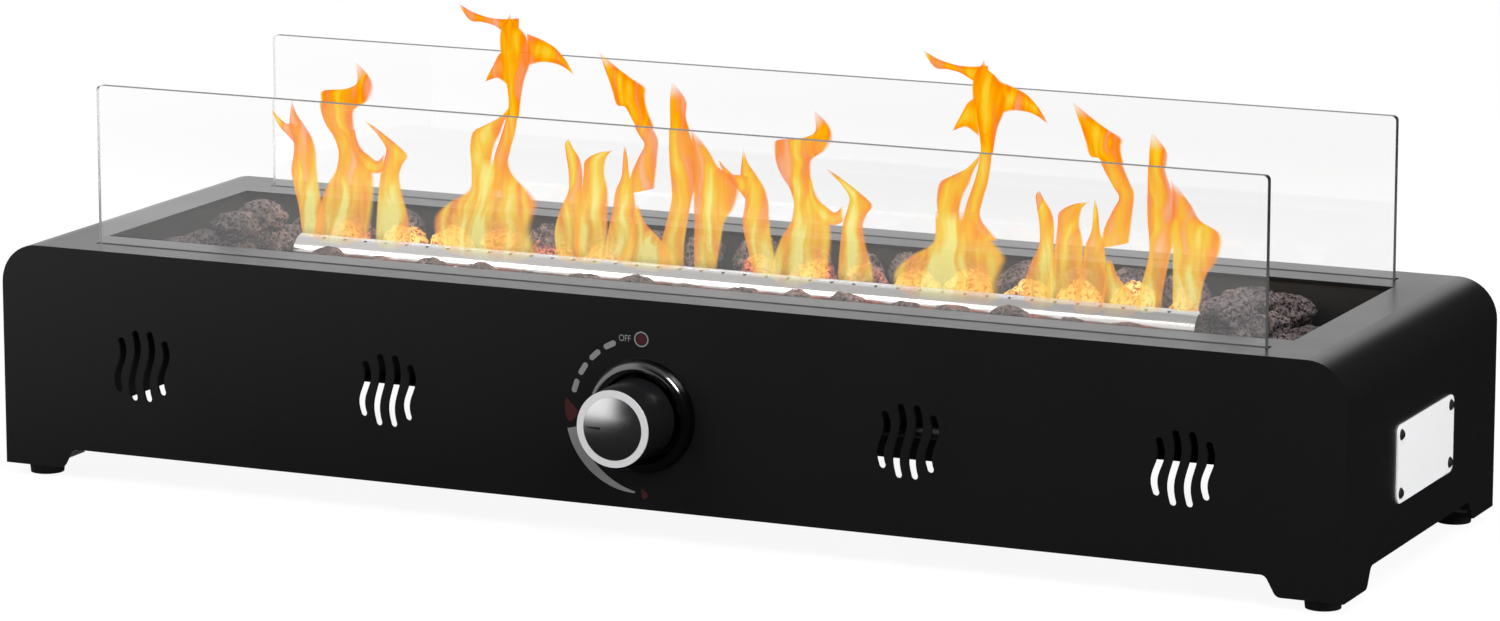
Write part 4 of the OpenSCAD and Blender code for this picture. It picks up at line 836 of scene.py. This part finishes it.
# Floor and surroundings: both are white to the eye. Glossy surfaces see them white behind and to the left
# of the object, and dark in front of it and to its right. Pairs are where the white begins and is full.
room = {
    "size": 6.0,
    "grey": 0.30,  # what the floor throws back onto the object
    "seenGrey": 0.93,
    "rough": 0.9,
    "shadow": 0.08,  # how much of a shadow the floor shows
    "fill": 0.62,  # even light of the surroundings
    "dark": 0.012,
    "card": (-0.12, -1.1),  # the floor's white, in metres along x
    "cardLevel": 0.9,
    "behind": (0.0, 0.5),  # the rest are parts of a unit direction
    "behindLeft": (0.06, -0.22),
    "left": (-0.12, -0.62),
    "overhead": (0.6, 0.9),
    "overheadLevel": 0.4,
}


# 1 for what is seen by the eye, also through glass, and 0 for light that falls on things
def toEye(tree, path):
    return maths(tree, "ADD", path.outputs["Is Camera Ray"], path.outputs["Is Transmission Ray"],
                 clamp=True)


material, tree, shader = newMaterial("floor", (1, 1, 1), roughness=room["rough"], Specular_IOR_Level=0.0)
path = put(tree, "LightPath")
seen = toEye(tree, path)
floorColor = blendColors(tree, seen, (room["grey"],) * 3, (room["seenGrey"],) * 3)
tree.links.new(floorColor, shader.inputs["Base Color"])
white = put(tree, "Emission", {"Color": (1, 1, 1, 1), "Strength": 1.0})
spot = put(tree, "SeparateXYZ", {0: objectSpace(tree)})
cardLevel = smooth(tree, spot.outputs["X"], *room["card"], room["dark"], room["cardLevel"])
card = put(tree, "Emission", {"Color": (1, 1, 1, 1), "Strength": cardLevel})
base = put(tree, "MixShader", {0: path.outputs["Is Glossy Ray"], 1: shader.outputs[0],
                               2: card.outputs[0]})
share = maths(tree, "MULTIPLY", seen, 1 - room["shadow"])
top = put(tree, "MixShader", {0: share, 1: base.outputs[0], 2: white.outputs[0]})
tree.links.new(top.outputs[0], tree.nodes["Material Output"].inputs["Surface"])
size = room["size"]
floor = newPiece("floor", [(-size, -size, 0), (size, -size, 0), (size, size, 0), (-size, size, 0)],
                 [(0, 1, 2, 3)], material, flat=True)

world = bpy.data.worlds.new("studio")
scene.world = world
world.use_nodes = True
tree = world.node_tree
path = put(tree, "LightPath")
direction = put(tree, "SeparateXYZ", {0: put(tree, "TexCoord").outputs["Generated"]})
behind = product(tree, smooth(tree, direction.outputs["Y"], *room["behind"]),
                 smooth(tree, direction.outputs["X"], *room["behindLeft"]))
leftSide = smooth(tree, direction.outputs["X"], *room["left"])
overhead = smooth(tree, direction.outputs["Z"], *room["overhead"], 0.0, room["overheadLevel"])
studio = maths(tree, "MAXIMUM", maths(tree, "MAXIMUM", behind, leftSide), overhead)
studio = smooth(tree, studio, 0.0, 1.0, room["dark"], 1.0)
glossy = path.outputs["Is Glossy Ray"]
forGlossy = product(tree, glossy, studio)
forDiffuse = product(tree, maths(tree, "SUBTRACT", 1.0, glossy), room["fill"])
level = maths(tree, "MAXIMUM", toEye(tree, path), maths(tree, "ADD", forGlossy, forDiffuse))
background = tree.nodes["Background"]
background.inputs["Color"].default_value = (1, 1, 1, 1)
tree.links.new(level, background.inputs["Strength"])
print("floor and surroundings done")


def newLamp(name, kind, place, power, color):
    light = bpy.data.lights.new(name, kind)
    light.energy = power
    light.color = color
    holder = bpy.data.objects.new(name, light)
    holder.location = place
    scene.collection.objects.link(holder)
    return holder


# Lamps that look at the object; shine tells whether glossy surfaces show the lamp
lampAim = Vector((0, 0, 0.06))
lamps = {
    "key": {"at": (-1.3, -1.6, 1.7), "size": 1.0, "power": 30.0, "shine": False},
    "over": {"at": (0.2, 0.3, 2.0), "size": 1.6, "power": 22.0, "shine": False},
    "right": {"at": (2.2, -0.7, 0.9), "size": 0.9, "power": 34.0, "shine": False},
    "streak": {"at": (1.0, -0.95, 1.45), "size": 0.70, "power": 20.0, "shine": True},
}
for name, lamp in lamps.items():
    holder = newLamp(name, "AREA", lamp["at"], lamp["power"], (1, 1, 1))
    holder.data.size = lamp["size"]
    holder.visible_glossy = lamp["shine"]
    holder.rotation_euler = (lampAim - Vector(lamp["at"])).to_track_quat("-Z", "Y").to_euler()

# Warm lamps in the flames light the rock and the burner, and aren't seen themselves
embers = {"count": 8, "power": 0.10, "height": 0.150, "radius": 0.02, "color": (1.0, 0.55, 0.18)}
for k in range(embers["count"]):
    x = burnerLow.x + (k + 0.5) * (burnerHigh.x - burnerLow.x) / embers["count"]
    place = (x, burnerMid.y, embers["height"])
    ember = newLamp("ember" + str(k), "POINT", place, embers["power"], embers["color"])
    ember.data.shadow_soft_size = embers["radius"]
    ember.visible_camera = False
    ember.visible_glossy = False
    ember.visible_transmission = False
print("lamps done")
